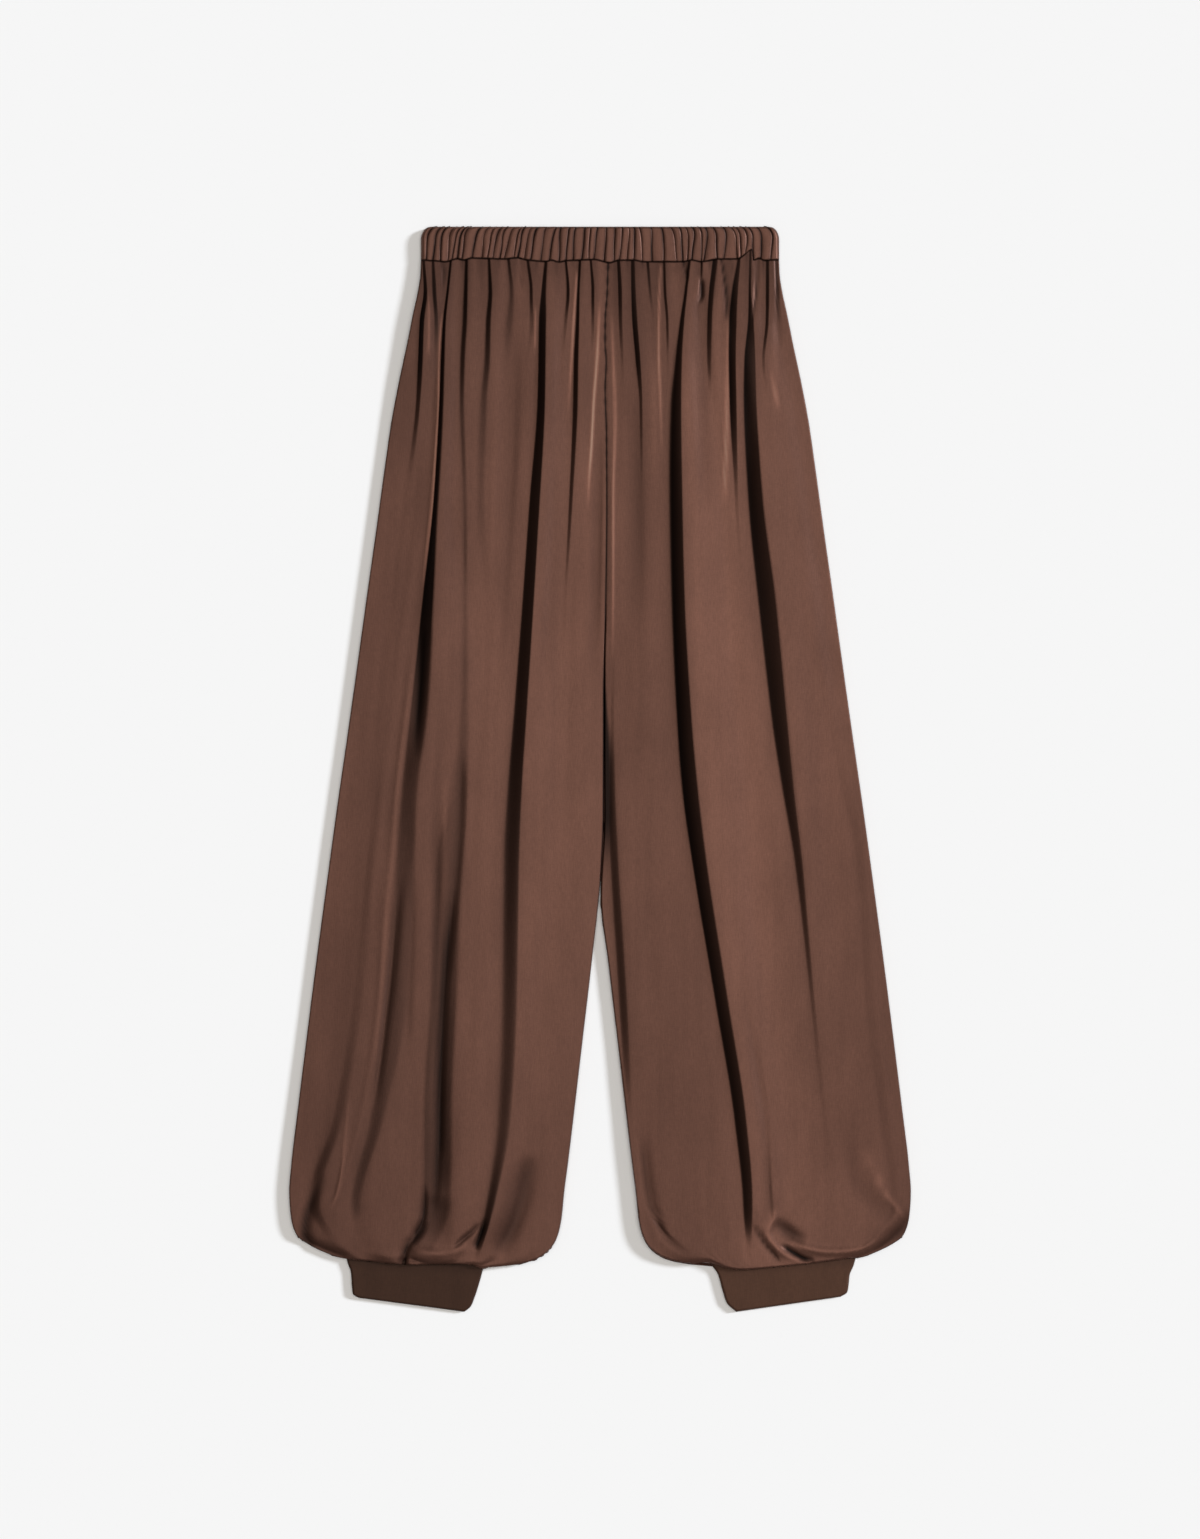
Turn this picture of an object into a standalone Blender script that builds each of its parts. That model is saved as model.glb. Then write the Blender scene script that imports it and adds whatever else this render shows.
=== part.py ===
"""Gathered satin trousers with full balloon legs and banded ankles, laid flat and face up.

Lengths in the tables and constants are millimetres. "out" is the distance from the centre line
towards a side seam, "down" is the distance below the top edge of the waistband, and heights are
above the surface that the garment lies on. Left and right are as seen from above, waist away.
"""

import bpy
import numpy as np

MM = 0.001

# Driving dimensions
TOTAL_LENGTH = 1051.5       # waistband edge to the lower corner of the cuffs
BAND_DEPTH = 33.0           # height of the elastic casing
BAND_HALF_WIDTH = 173.6     # half of the waist, laid flat
CLOTH = 1.2                 # wall of a leg panel
CASING = 2.2                # wall of the casing, two cloths and the elastic
CUFF_WALL = 1.6             # wall of a cuff, a band folded double
SEAM_GAP = 0.3              # clearance where two pieces are sewn together
SATIN_BROWN = (0.155, 0.075, 0.054, 1.0)
CUFF_BROWN = (0.085, 0.040, 0.028, 1.0)
SATIN_ROUGHNESS = 0.38
SATIN_SHEEN = 0.4

# The leg's edges, a row for each station from the waist to the ankle:
# out and down of the side seam, then out and down of the inner edge.
LEG_STATIONS = (
    (173.6, 33.3, 0.0, 33.3),
    (174.2, 46.0, 0.0, 46.0),
    (176.5, 62.0, 0.0, 62.0),
    (181.5, 85.0, 0.0, 85.0),
    (187.5, 115.0, 0.0, 115.0),
    (195.0, 150.0, 0.0, 150.0),
    (202.5, 190.0, 0.0, 190.0),
    (209.0, 235.0, 0.0, 235.0),
    (216.5, 290.0, 0.0, 290.0),
    (225.0, 350.0, 0.0, 350.0),
    (234.0, 415.0, 0.0, 415.0),
    (243.8, 485.0, 0.0, 485.0),
    (254.6, 560.0, 0.2, 560.0),
    (265.5, 640.0, 0.5, 640.0),
    (275.5, 715.0, 8.2, 715.0),
    (285.0, 790.0, 17.0, 790.0),
    (293.0, 855.0, 24.6, 855.0),
    (299.0, 905.0, 30.6, 905.0),
    (301.3, 935.0, 34.5, 935.0),
    (299.6, 960.0, 37.3, 962.0),
    (294.0, 977.0, 41.5, 979.0),
    (281.0, 987.0, 50.0, 992.0),
    (265.0, 994.5, 66.0, 1001.5),
    (256.0, 998.0, 86.0, 1005.5),
)
FRONT_HEM = (249.0, 999.5, 108.0, 1007.5)   # the lip that hangs over the cuff
BACK_HEM = (247.4, 993.4, 109.4, 1002.4)    # the back's seam to the cuff

# The centre seam wanders to the right of the middle: down, then shift.
CENTRE_LINE = (
    (33.0, 7.8),
    (100.0, 5.2),
    (200.0, 6.6),
    (270.0, 6.6),
    (360.0, 5.6),
    (440.0, 4.0),
    (575.0, 4.0),
    (620.0, 1.5),
    (665.0, -0.6),
    (715.0, 0.0),
)
CROTCH = 362.0              # down to the fork of the legs
LEGS_PART = 420.0           # down to where each inner edge is fully rounded

# Folds of the front panels, each with a value at every one of these levels down. "out" is the
# fold's outer edge and "width" its breadth towards the centre. In between, the cloth climbs by
# "depth" from a foot on the left to a crest on the right.
LEVELS = (34, 62, 92, 130, 170, 265, 362, 478, 545, 614, 750, 866, 944, 1005)
LEFT_FOLDS = {
    "side": {
        "out": (171, 170.7, 174.5, 176, 178, 190, 200, 212, 218, 226, 240, 262, 284, 243),
        "width": (3, 4, 4.5, 4.5, 4, 6, 8, 9, 9, 10, 13, 16, 17, 4),
        "depth": (2.5, 3.5, 4.5, 4, 2, 0, 0, 0, 0.3, 0.8, 1.4, 2.4, 3.5, 1),
    },
    "side_short": {
        "out": (162, 162.3, 160.3, 160, 163, 176, 185, 197, 203, 210, 220, 238, 258, 236),
        "width": (3, 3.5, 2.5, 3, 3, 3, 3, 3, 3, 3, 3, 3, 3, 2),
        "depth": (2.5, 3, 1.6, 0.2, 0, 0, 0, 0, 0, 0, 0, 0, 0, 0),
    },
    "outer_long": {
        "out": (145.5, 148.4, 152, 154.2, 155.5, 161, 171.7, 186.2, 193, 198.4, 207, 223, 240.6, 230),
        "width": (3, 3, 3.5, 3.8, 4, 4.2, 9.5, 15, 16, 17, 19, 14, 10, 5),
        "depth": (3, 3.5, 4, 4.5, 5, 5, 6.5, 5, 3.6, 3, 3, 3.6, 3, 0.5),
    },
    "knee": {
        "out": (129, 128.5, 133, 135.4, 136, 133, 132.5, 134, 148, 161, 164.3, 170.3, 170.3, 191),
        "width": (3, 3.5, 3.5, 4, 4, 5, 5, 7, 19, 28, 26, 27, 26, 5),
        "depth": (3, 3.5, 3, 2, 1, 0.6, 0.6, 0.8, 1.8, 3, 4, 4.5, 4.5, 3),
    },
    "hip": {
        "out": (106.7, 105.8, 108, 110.6, 116, 119, 112, 112, 113, 118, 128, 138, 141, 167),
        "width": (3.5, 4, 4, 4, 4, 4, 4, 4, 4, 4, 4, 4, 4, 3),
        "depth": (3, 3.5, 3, 2, 1, 0.3, 0, 0, 0, 0, 0, 0, 0, 0),
    },
    "pucker_one": {
        "out": (90, 88, 91, 93, 95, 98, 99, 104, 108, 113, 116, 122, 131, 151),
        "width": (3.5, 4, 5, 5, 4, 4, 4, 4, 4, 4, 4, 4, 4, 3),
        "depth": (3, 1.2, 0.5, 0.2, 0, 0, 0, 0, 0, 0, 0, 0, 0, 0),
    },
    "pucker_two": {
        "out": (71, 68, 68, 72, 76, 84, 88, 97, 101, 107, 109, 115, 124, 139),
        "width": (2.5, 3, 3.5, 3.5, 3.5, 3.5, 3.5, 3.5, 3.5, 3.5, 3.5, 3.5, 3.5, 3),
        "depth": (2.5, 3, 1, 0.2, 0, 0, 0, 0, 0, 0, 0, 0, 0, 0),
    },
    "inner_long": {
        "out": (53.5, 56.7, 59.2, 59.8, 61.4, 69, 74.8, 83.8, 89, 95, 94.6, 100, 108.6, 126),
        "width": (2.6, 4.5, 8, 8.6, 8.4, 10.4, 11, 12.6, 14, 15.5, 14, 13, 8, 3),
        "depth": (3, 4, 5, 5.5, 5.5, 6, 6.5, 6.5, 6, 5.5, 4.5, 4.5, 5, 3),
    },
    "pucker_three": {
        "out": (34, 32.2, 35, 38, 39, 44, 51, 59, 61, 64, 67, 75, 85, 120),
        "width": (3, 3.5, 4, 4, 4, 4, 4, 4, 4, 4, 4, 4, 4, 2),
        "depth": (2.6, 3.2, 1.6, 0.5, 0, 0, 0, 0, 0, 0, 0, 0, 0, 0),
    },
    "fly_side": {
        "out": (20.4, 22.3, 23.4, 25.4, 26, 30, 35, 39, 40, 42, 47, 56, 68, 116),
        "width": (3, 3.2, 3.6, 4.6, 4.6, 3.6, 3, 3, 3, 3, 3, 3, 3, 2),
        "depth": (3, 3.5, 3.5, 3.5, 3, 1.6, 0.2, 0, 0, 0, 0, 0, 0, 0),
    },
    "fly_short": {
        "out": (10, 8.4, 8.4, 9.4, 10.4, 12, 14, 17, 18, 20, 28, 40, 52, 112),
        "width": (2.2, 3, 3, 3, 3, 3, 3, 3, 3, 3, 3, 3, 3, 2),
        "depth": (2.4, 2.6, 1.2, 0.2, 0, 0, 0, 0, 0, 0, 0, 0, 0, 0),
    },
}
RIGHT_FOLDS = {
    "side": {
        "out": (163.4, 163.2, 162.4, 161, 165, 182, 200, 228, 243, 257, 267, 281, 290, 243),
        "width": (3, 3.2, 3, 3, 3, 4, 6, 8, 9, 9, 10, 10, 8, 3),
        "depth": (2.6, 3, 2.6, 1, 0, 0, 0, 0.4, 0.8, 1, 1, 1.2, 0.8, 0),
    },
    "outer_long": {
        "out": (147, 146.4, 148.6, 150.4, 151.4, 159, 170, 181, 187.6, 195.8, 208.5, 221, 231, 228),
        "width": (2.6, 2.6, 5.5, 11, 12, 14, 17, 14.6, 11, 7.6, 4.5, 4, 4, 3),
        "depth": (2.4, 2.8, 4.5, 5.5, 6, 6.8, 7, 6.5, 5, 3.4, 1.4, 0.6, 0, 0),
    },
    "outer_hip": {
        "out": (136, 133, 131.4, 131.4, 132.2, 136, 141, 150, 156, 164, 182, 200, 206, 208),
        "width": (3, 5.2, 6.4, 6.4, 6, 3, 3, 3, 3, 3, 3, 3, 3, 3),
        "depth": (3, 4, 4.6, 4.6, 4, 0.8, 0, 0, 0, 0, 0, 0, 0, 0),
    },
    "pucker_one": {
        "out": (114, 110.4, 108.4, 107.4, 108, 113, 119, 128, 134, 142, 160, 181, 185, 196),
        "width": (5, 4.6, 3.6, 3, 3, 3, 3, 3, 3, 3, 3, 3, 3, 3),
        "depth": (3.4, 3.6, 2.4, 0.8, 0, 0, 0, 0, 0, 0, 0, 0, 0, 0),
    },
    "pinch": {
        "out": (99.5, 99, 96, 93, 92, 96, 101, 110, 117, 125, 146, 165, 168.4, 176),
        "width": (2, 2.5, 3, 3, 3, 3, 3, 3, 3, 4, 5, 6, 5, 3),
        "depth": (2.6, 0.8, 0, 0, 0, 0, 0, 0, 0, 0, 0.4, 1.2, 2, 1),
    },
    "inner_long": {
        "out": (87.8, 84.6, 81.6, 78.8, 78, 79.6, 82, 88.6, 94.6, 102.8, 123.7, 142, 148.6, 152),
        "width": (2.4, 2.4, 3.8, 5, 8, 11.6, 12.2, 14, 15, 13.6, 12, 11, 9, 3),
        "depth": (2.6, 3.4, 4, 5, 6, 7, 7.4, 7.4, 7.2, 7, 6.5, 6, 4.6, 0.4),
    },
    "pucker_two": {
        "out": (63.4, 64.2, 66.4, 67, 66, 64, 65, 69, 74, 81, 98, 117, 123, 140),
        "width": (2.4, 2.6, 2.6, 2.6, 3, 3, 3, 3, 3, 3, 3, 3, 3, 3),
        "depth": (2.4, 2.6, 1.8, 0.4, 0, 0, 0, 0, 0, 0, 0, 0, 0, 0),
    },
    "pucker_three": {
        "out": (47.8, 50, 53, 53, 54, 50, 51, 54, 57, 62, 76, 95, 102, 130),
        "width": (3, 3, 3, 3, 3, 3, 3, 3, 3, 3, 3, 3, 3, 3),
        "depth": (2.4, 1, 0, 0, 0, 0, 0, 0, 0, 0, 0, 0, 0, 0),
    },
    "fly_side": {
        "out": (33.6, 34.6, 36.2, 40, 42.6, 35, 37, 40, 42, 46, 55, 71, 80, 121),
        "width": (3.6, 4.4, 5, 4.4, 3, 3, 3, 3, 3, 3, 3, 3, 3, 3),
        "depth": (2.8, 3.4, 3.8, 3.4, 1.4, 0, 0, 0, 0, 0, 0, 0, 0, 0),
    },
    "inseam": {
        "out": (19.5, 21.2, 21.6, 23, 24, 20, 17, 14, 15, 18, 26.4, 32, 40, 114),
        "width": (3, 3.6, 3.4, 3, 3, 3, 3, 4, 6, 8, 8, 6, 4, 3),
        "depth": (2.6, 3, 1.8, 0.4, 0, 0, 0, 0.4, 1.4, 2.2, 2.2, 0.4, 0, 0),
    },
}
# Every fold sinks by this share of its depth at the foot, and stands up by the rest at the crest.
FOOT_SHARE = 0.5
# The cloth sinks towards a foot, and falls away again beyond a crest, over these lengths: a fixed
# part, and a part for each millimetre of the fold's width.
SINK_LENGTH = (4.0, 1.2)
FALL_LENGTH = (4.0, 3.2)
WAIST_SHARE = 0.6           # share of a fold's depth that is left right under the waistband
WAIST_REACH = 120.0         # down from the band to where the folds are fully deep
# Columns of the front's grid, as shares of a fold's width and of the space up to the next fold.
FOLD_COLUMNS = (0.0, 0.5)
SPACE_COLUMNS = (0.0, 0.4)
FOLD_SPACE_LEAST = 0.4      # share of the distance between two folds that stays free of them
# Columns beside a leg's two edges, by their distance from it. They draw together where a fold
# leaves less room than they need.
RIM_COLUMNS = (2.0, 6.0)
RIM_ROOM = 0.6

# Heights of the front panel's outer face
FRONT_EDGE = 3.6            # at the side seams
FRONT_LIP = 7.0             # at the lip over the cuff
FRONT_LEAST = 4.9           # floor of the deepest valley
PILLOW = ((33, 7.8), (50, 8.8), (110, 9.6), (362, 10.0), (750, 10.0), (950, 10.8), (1005, 10.8))
EDGE_RADIUS = 6.5
LEAST_BLEND = 0.4           # how softly a fold's foot flattens out on its floor
LIP_START = 975.0           # down to where the edge begins to lift towards the lip
LIP_RISE = 20.0             # and the length over which it lifts
LIP_CORNER = 0.02           # how near the lip's ends it keeps its full height
SEAM_DIP = 1.6              # the centre seam lies this much lower
SEAM_DIP_REACH = 4.0

# The back rests on the surface, with soft channels where it is gathered.
BACK_CHANNELS = 8
CHANNEL_HEIGHT = 1.9
CHANNEL_REACH = 7.0
CHANNEL_WAIST_END = 190.0   # down to where the waist's channels have flattened out, on average
CHANNEL_ANKLE_START = 850.0
CHANNEL_UNEVEN = 90.0       # how much longer or shorter single channels are at the waist
CHANNEL_ANKLE_UNEVEN = 54.0
CHANNEL_SIDE_STEP = 0.03    # share of the width between a channel's middle and the columns beside it
CHANNEL_WANDER = 0.018      # share of the width by which the channels' spacing varies
CHANNEL_TURNS = (2.3, 1.9, 2.7)    # unevenness of the channels' places, waist ends and ankle ends
FLAT_HEIGHT = 0.15          # anything lower rests on the surface
LONG_CHANNELS = (2, 5)      # these run on, shallower, along the whole leg
LONG_SHARE = 0.6
ANKLE_FULL = 990.0          # down to where the ankle's channels are at their full height
BACK_ROW_STEP = 3.0         # the back's last rows keep at least this far apart above the cuff
BACK_LIFT = 0.8             # the back's edges turn up to meet the front
BACK_LIFT_REACH = 6.0
BACK_LIFT_START = 60.0      # up from the fork to where the inner edge begins to turn up
BACK_ROWS = (0, 1, 2, 4, 6, 8, 10, 12, 14, 16, 18, 20, 21, 22, 23, 24)

# Gathers of the waistband: the groove's place across at the top and at the lower edge.
BAND_GROOVES = (
    (-167, -166), (-158, -160), (-151, -152), (-134, -137), (-119, -124), (-112, -115),
    (-97, -104), (-91, -96), (-75, -80), (-62, -68), (-53, -57), (-44, -48), (-37, -39),
    (-30, -33), (-23, -26), (-15, -17), (-4, -7), (6, 4), (14, 12), (22, 18), (35, 32),
    (51, 49), (61, 62), (71, 75), (80, 82), (93, 89), (101, 98), (112, 113), (123, 120),
    (133, 136), (148, 147), (157, 155), (167, 165),
)
WIDEST_PUFF = 11.5          # a wider space between grooves is parted by one more
BAND_FRONT_HEIGHT = 8.4
BAND_PUFF = 1.5
BAND_BACK_PUFF = 0.75       # depth of the grooves in the face that is lain on
BAND_FULLNESS = 0.6         # a smaller value makes the puffs' tops flatter
BAND_EDGE = 4.8             # height of the front face at its rim, clear of the back face
BAND_TOP_SHARE = 0.75       # share of the height that is left at the band's upper edge
BAND_END_RADIUS = 6.0
BAND_CORNER = 7.0           # rounding of the band's upper corners, seen from above
BAND_ROWS = (1.0, 3.5, 17.0, 33.0)

# The ankle cuffs, a row for each station: out and down of the outer edge, then of the inner one.
LEFT_CUFF = (
    (247.0, 993.9, 110.0, 1002.9),
    (245.0, 1004.0, 113.0, 1010.0),
    (241.6, 1013.5, 116.0, 1020.0),
    (240.6, 1026.0, 121.0, 1036.0),
    (239.6, 1034.0, 125.5, 1046.5),
    (234.0, 1038.0, 131.5, 1051.5),
)
RIGHT_CUFF = (
    (247.0, 993.9, 110.0, 1002.9),
    (245.5, 1004.0, 110.5, 1008.0),
    (242.0, 1015.0, 114.0, 1016.0),
    (241.0, 1026.0, 118.6, 1030.0),
    (239.6, 1032.5, 123.0, 1043.0),
    (233.0, 1037.0, 132.0, 1051.5),
)
CUFF_COLUMNS = 12
CUFF_SPREAD = 0.6           # how much closer the columns lie beside the cuff's edges
CUFF_FRONT_EDGE = 3.6
CUFF_FRONT_HEIGHT = 5.2
CUFF_EDGE_RADIUS = 5.0


def monotone_curve(knots, values, at):
    """Smooth curve through the knots that never swings past them."""
    knots = np.asarray(knots, float)
    values = np.asarray(values, float)
    at = np.clip(np.asarray(at, float), knots[0], knots[-1])
    steps = np.diff(knots)
    slopes = np.diff(values) / steps
    tangents = np.zeros_like(values)
    rising = slopes[:-1] * slopes[1:] > 0
    inner = np.zeros(len(values) - 2)
    inner[rising] = 2.0 / (1.0 / slopes[:-1][rising] + 1.0 / slopes[1:][rising])
    tangents[1:-1] = inner
    tangents[0] = slopes[0]
    tangents[-1] = slopes[-1]
    place = np.clip(np.searchsorted(knots, at, side="right") - 1, 0, len(steps) - 1)
    step = steps[place]
    share = (at - knots[place]) / step
    rest = 1.0 - share
    return (
        values[place] * (1 + 2 * share) * rest ** 2
        + tangents[place] * step * share * rest ** 2
        + values[place + 1] * share ** 2 * (3 - 2 * share)
        - tangents[place + 1] * step * share ** 2 * rest
    )


def quarter_round(distance, radius):
    """Height share of a rounded edge: 0 at the edge and 1 from the radius inwards."""
    share = np.clip(distance / radius, 0.0, 1.0)
    return np.sqrt(1.0 - (1.0 - share) ** 2)


def ease(share):
    share = np.clip(share, 0.0, 1.0)
    return share * share * (3.0 - 2.0 * share)


def distance_to_line(out, down, line):
    """Distance of grid points from a line of points, in plan."""
    start = line[:-1]
    along = line[1:] - start
    length = (along ** 2).sum(axis=1)
    gap_out = out[..., None] - start[:, 0]
    gap_down = down[..., None] - start[:, 1]
    share = np.clip((gap_out * along[:, 0] + gap_down * along[:, 1]) / length, 0.0, 1.0)
    apart = np.hypot(gap_out - share * along[:, 0], gap_down - share * along[:, 1])
    return apart.min(axis=-1)


def leg_edges(side, hem):
    """Both edges of a leg at its stations, with the centre line's shift and the seam's gap."""
    stations = np.array(LEG_STATIONS + (hem,))
    outer = stations[:, 0:2]
    inner = stations[:, 2:4].copy()
    line = np.array(CENTRE_LINE)
    shift = monotone_curve(line[:, 0], line[:, 1], inner[:, 1])
    inner[:, 0] += side * shift + SEAM_GAP / 2
    return outer, inner


def leg_plan(side, hem, columns):
    """Plan of a leg's grid. columns holds, for each station, the shares from the outer edge."""
    outer, inner = leg_edges(side, hem)
    out = outer[:, :1] + columns * (inner[:, :1] - outer[:, :1])
    down = outer[:, 1:] + columns * (inner[:, 1:] - outer[:, 1:])
    return out, down


def fold_values(fold, key, levels):
    """One of a fold's values, worked out at the given levels."""
    return monotone_curve(LEVELS, fold[key], levels)


def fold_edges(side, folds):
    """Shares of the leg's width at which each fold has its outer and inner edge, at every station."""
    outer, inner = leg_edges(side, FRONT_HEM)
    middle = (outer[:, 1] + inner[:, 1]) / 2
    width_at = outer[:, 0] - inner[:, 0]
    outer_edges = []
    inner_edges = []
    for fold in folds.values():
        share = (outer[:, 0] - fold_values(fold, "out", middle)) / width_at
        outer_edges.append(share)
        inner_edges.append(share + fold_values(fold, "width", middle) / width_at)
    return np.array(outer_edges).T, np.array(inner_edges).T


def front_columns(side, folds):
    """Grid columns that run along both edges of every fold, with a few more in between."""
    outer, inner = leg_edges(side, FRONT_HEM)
    width_at = outer[:, 0] - inner[:, 0]
    starts, ends = fold_edges(side, folds)
    following = np.hstack([starts[:, 1:], np.ones((len(starts), 1))])
    ends = np.minimum(ends, starts + (1.0 - FOLD_SPACE_LEAST) * (following - starts))
    rim = np.array(RIM_COLUMNS) / width_at[:, None]
    outer_squeeze = np.minimum(1.0, RIM_ROOM * starts[:, :1] / rim[:, -1:])
    inner_squeeze = np.minimum(1.0, RIM_ROOM * (1.0 - ends[:, -1:]) / rim[:, -1:])
    parts = [np.zeros(len(starts))] + list((rim * outer_squeeze).T)
    last_rim = 1.0 - (rim * inner_squeeze)[:, ::-1]
    following[:, -1] = last_rim[:, 0]
    for start, end, after in zip(starts.T, ends.T, following.T):
        parts += [start + share * (end - start) for share in FOLD_COLUMNS]
        parts += [end + share * (after - end) for share in SPACE_COLUMNS]
    parts += list(last_rim.T) + [np.ones(len(starts))]
    return np.array(parts).T


def fold_profile(across, width):
    """Height share of a fold: it sinks to its foot, climbs to its crest and falls away slowly."""
    sink = -FOOT_SHARE * (1.0 - ease(-across / (SINK_LENGTH[0] + SINK_LENGTH[1] * width)))
    climb = np.clip(across / width, 0.0, 1.0) - FOOT_SHARE
    fall = (1.0 - FOOT_SHARE) * (1.0 - ease((across - width) / (FALL_LENGTH[0] + FALL_LENGTH[1] * width)))
    return np.where(across < 0.0, sink, np.where(across < width, climb, fall))


def fold_relief(side, folds, out):
    """Height that the folds add."""
    outer, inner = leg_edges(side, FRONT_HEM)
    middle = (outer[:, 1] + inner[:, 1]) / 2
    starts, _ = fold_edges(side, folds)
    places = outer[:, 0] - starts.T * (outer[:, 0] - inner[:, 0])
    relief = np.zeros_like(out)
    for place, fold in zip(places, folds.values()):
        width = fold_values(fold, "width", middle)[:, None]
        depth = fold_values(fold, "depth", middle)[:, None]
        across = place[:, None] - out
        if side > 0:
            across = width - across
        relief += depth * fold_profile(across, width)
    growth = WAIST_SHARE + (1.0 - WAIST_SHARE) * ease((middle - BAND_DEPTH) / WAIST_REACH)
    return relief * growth[:, None]


def front_panel(name, side, folds):
    columns = front_columns(side, folds)
    out, down = leg_plan(side, FRONT_HEM, columns)
    outer, inner = leg_edges(side, FRONT_HEM)
    outline = np.vstack([outer, [[out[-1, k], down[-1, k]] for k in range(1, out.shape[1])]])
    lobe = inner[down[:, -1] > CROTCH][::-1]
    pillow = np.array(PILLOW)
    base = monotone_curve(pillow[:, 0], pillow[:, 1], down)
    height = base + fold_relief(side, folds, out)
    height = FRONT_LEAST + np.hypot(np.maximum(height - FRONT_LEAST, 0.0), LEAST_BLEND)
    lip = ease(columns * (1.0 - columns) / LIP_CORNER) * ease((down - LIP_START) / LIP_RISE)
    edge = FRONT_EDGE + (FRONT_LIP - FRONT_EDGE) * lip
    rounding = quarter_round(distance_to_line(out, down, outline), EDGE_RADIUS)
    inner_rounding = quarter_round(distance_to_line(out, down, lobe), EDGE_RADIUS)
    parting = ease((down - CROTCH) / (LEGS_PART - CROTCH))
    rounding = rounding * (1.0 - parting * (1.0 - inner_rounding))
    seam_distance = (1.0 - columns) * (outer[:, :1] - inner[:, :1])
    height = height - SEAM_DIP * (1.0 - parting) * np.exp(-(seam_distance / SEAM_DIP_REACH) ** 2)
    height = edge + (height - edge) * rounding
    return wall(name, side * out, down, height, CLOTH, SATIN_BROWN, upward=True)


def back_channel_shares():
    """Places of the back's channels across a leg, unevenly spaced."""
    number = np.arange(1, BACK_CHANNELS + 1)
    return number / (BACK_CHANNELS + 1) + CHANNEL_WANDER * np.sin(CHANNEL_TURNS[0] * number)


def back_panel(name, side):
    channels = back_channel_shares()
    shares = [0.0]
    for channel in channels:
        shares += [channel - CHANNEL_SIDE_STEP, channel, channel + CHANNEL_SIDE_STEP]
    shares.append(1.0)
    shares = np.array(shares)
    stations = list(BACK_ROWS)
    columns = np.tile(shares, (len(LEG_STATIONS) + 1, 1))
    out, down = leg_plan(side, BACK_HEM, columns)
    ends = np.array([[out[-2, -1], down[-2, -1]], [out[-1, -1], down[-1, -1]],
                     [out[-1, 0], down[-1, 0]], [out[-2, 0], down[-2, 0]]])
    hem = np.interp(out, ends[:, 0], ends[:, 1])
    over_cuff = np.interp(out, ends[:, 0], (0.0, 1.0, 1.0, 0.0))
    rows_left = np.arange(len(LEG_STATIONS), -1, -1)[:, None]
    down = np.minimum(down, hem - BACK_ROW_STEP * rows_left * over_cuff)
    out = out[stations]
    down = down[stations]
    width = out[:, :1] - out[:, -1:]
    height = np.zeros_like(out)
    for number, channel in enumerate(channels):
        waist_end = CHANNEL_WAIST_END + CHANNEL_UNEVEN * np.sin(CHANNEL_TURNS[1] * number)
        ankle_turn = np.sin(CHANNEL_TURNS[2] * number + side)
        ankle_start = CHANNEL_ANKLE_START + CHANNEL_ANKLE_UNEVEN * ankle_turn
        waist = 1.0 - ease((down - BAND_DEPTH) / (waist_end - BAND_DEPTH))
        ankle = ease((down - ankle_start) / (ANKLE_FULL - ankle_start))
        strength = np.maximum(waist, ankle)
        if number in LONG_CHANNELS:
            strength = np.maximum(strength, LONG_SHARE)
        apart = (shares[None, :] - channel) * width
        height += CHANNEL_HEIGHT * strength * np.exp(-(apart / CHANNEL_REACH) ** 2)
    height[np.abs(height) < FLAT_HEIGHT] = 0.0
    side_distance = np.minimum(shares[None, :] * width, (1.0 - shares[None, :]) * width)
    lift = BACK_LIFT * ease(1.0 - side_distance / BACK_LIFT_REACH) * ease((down - CROTCH) / BACK_LIFT_START + 1.0)
    seam_side = (shares[None, :] > 0.5) & (down < CROTCH)
    height += np.where(seam_side, 0.0, lift)
    return wall(name, side * out, down, height, CLOTH, SATIN_BROWN, upward=False)


def band_grooves():
    """All grooves of the waistband, with one more in each space that is too wide."""
    grooves = [(-BAND_HALF_WIDTH, -BAND_HALF_WIDTH)]
    for groove in BAND_GROOVES + ((BAND_HALF_WIDTH, BAND_HALF_WIDTH),):
        before = grooves[-1]
        if groove[0] - before[0] > WIDEST_PUFF:
            grooves.append(((before[0] + groove[0]) / 2, (before[1] + groove[1]) / 2))
        grooves.append(groove)
    return np.array(grooves)


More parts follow.
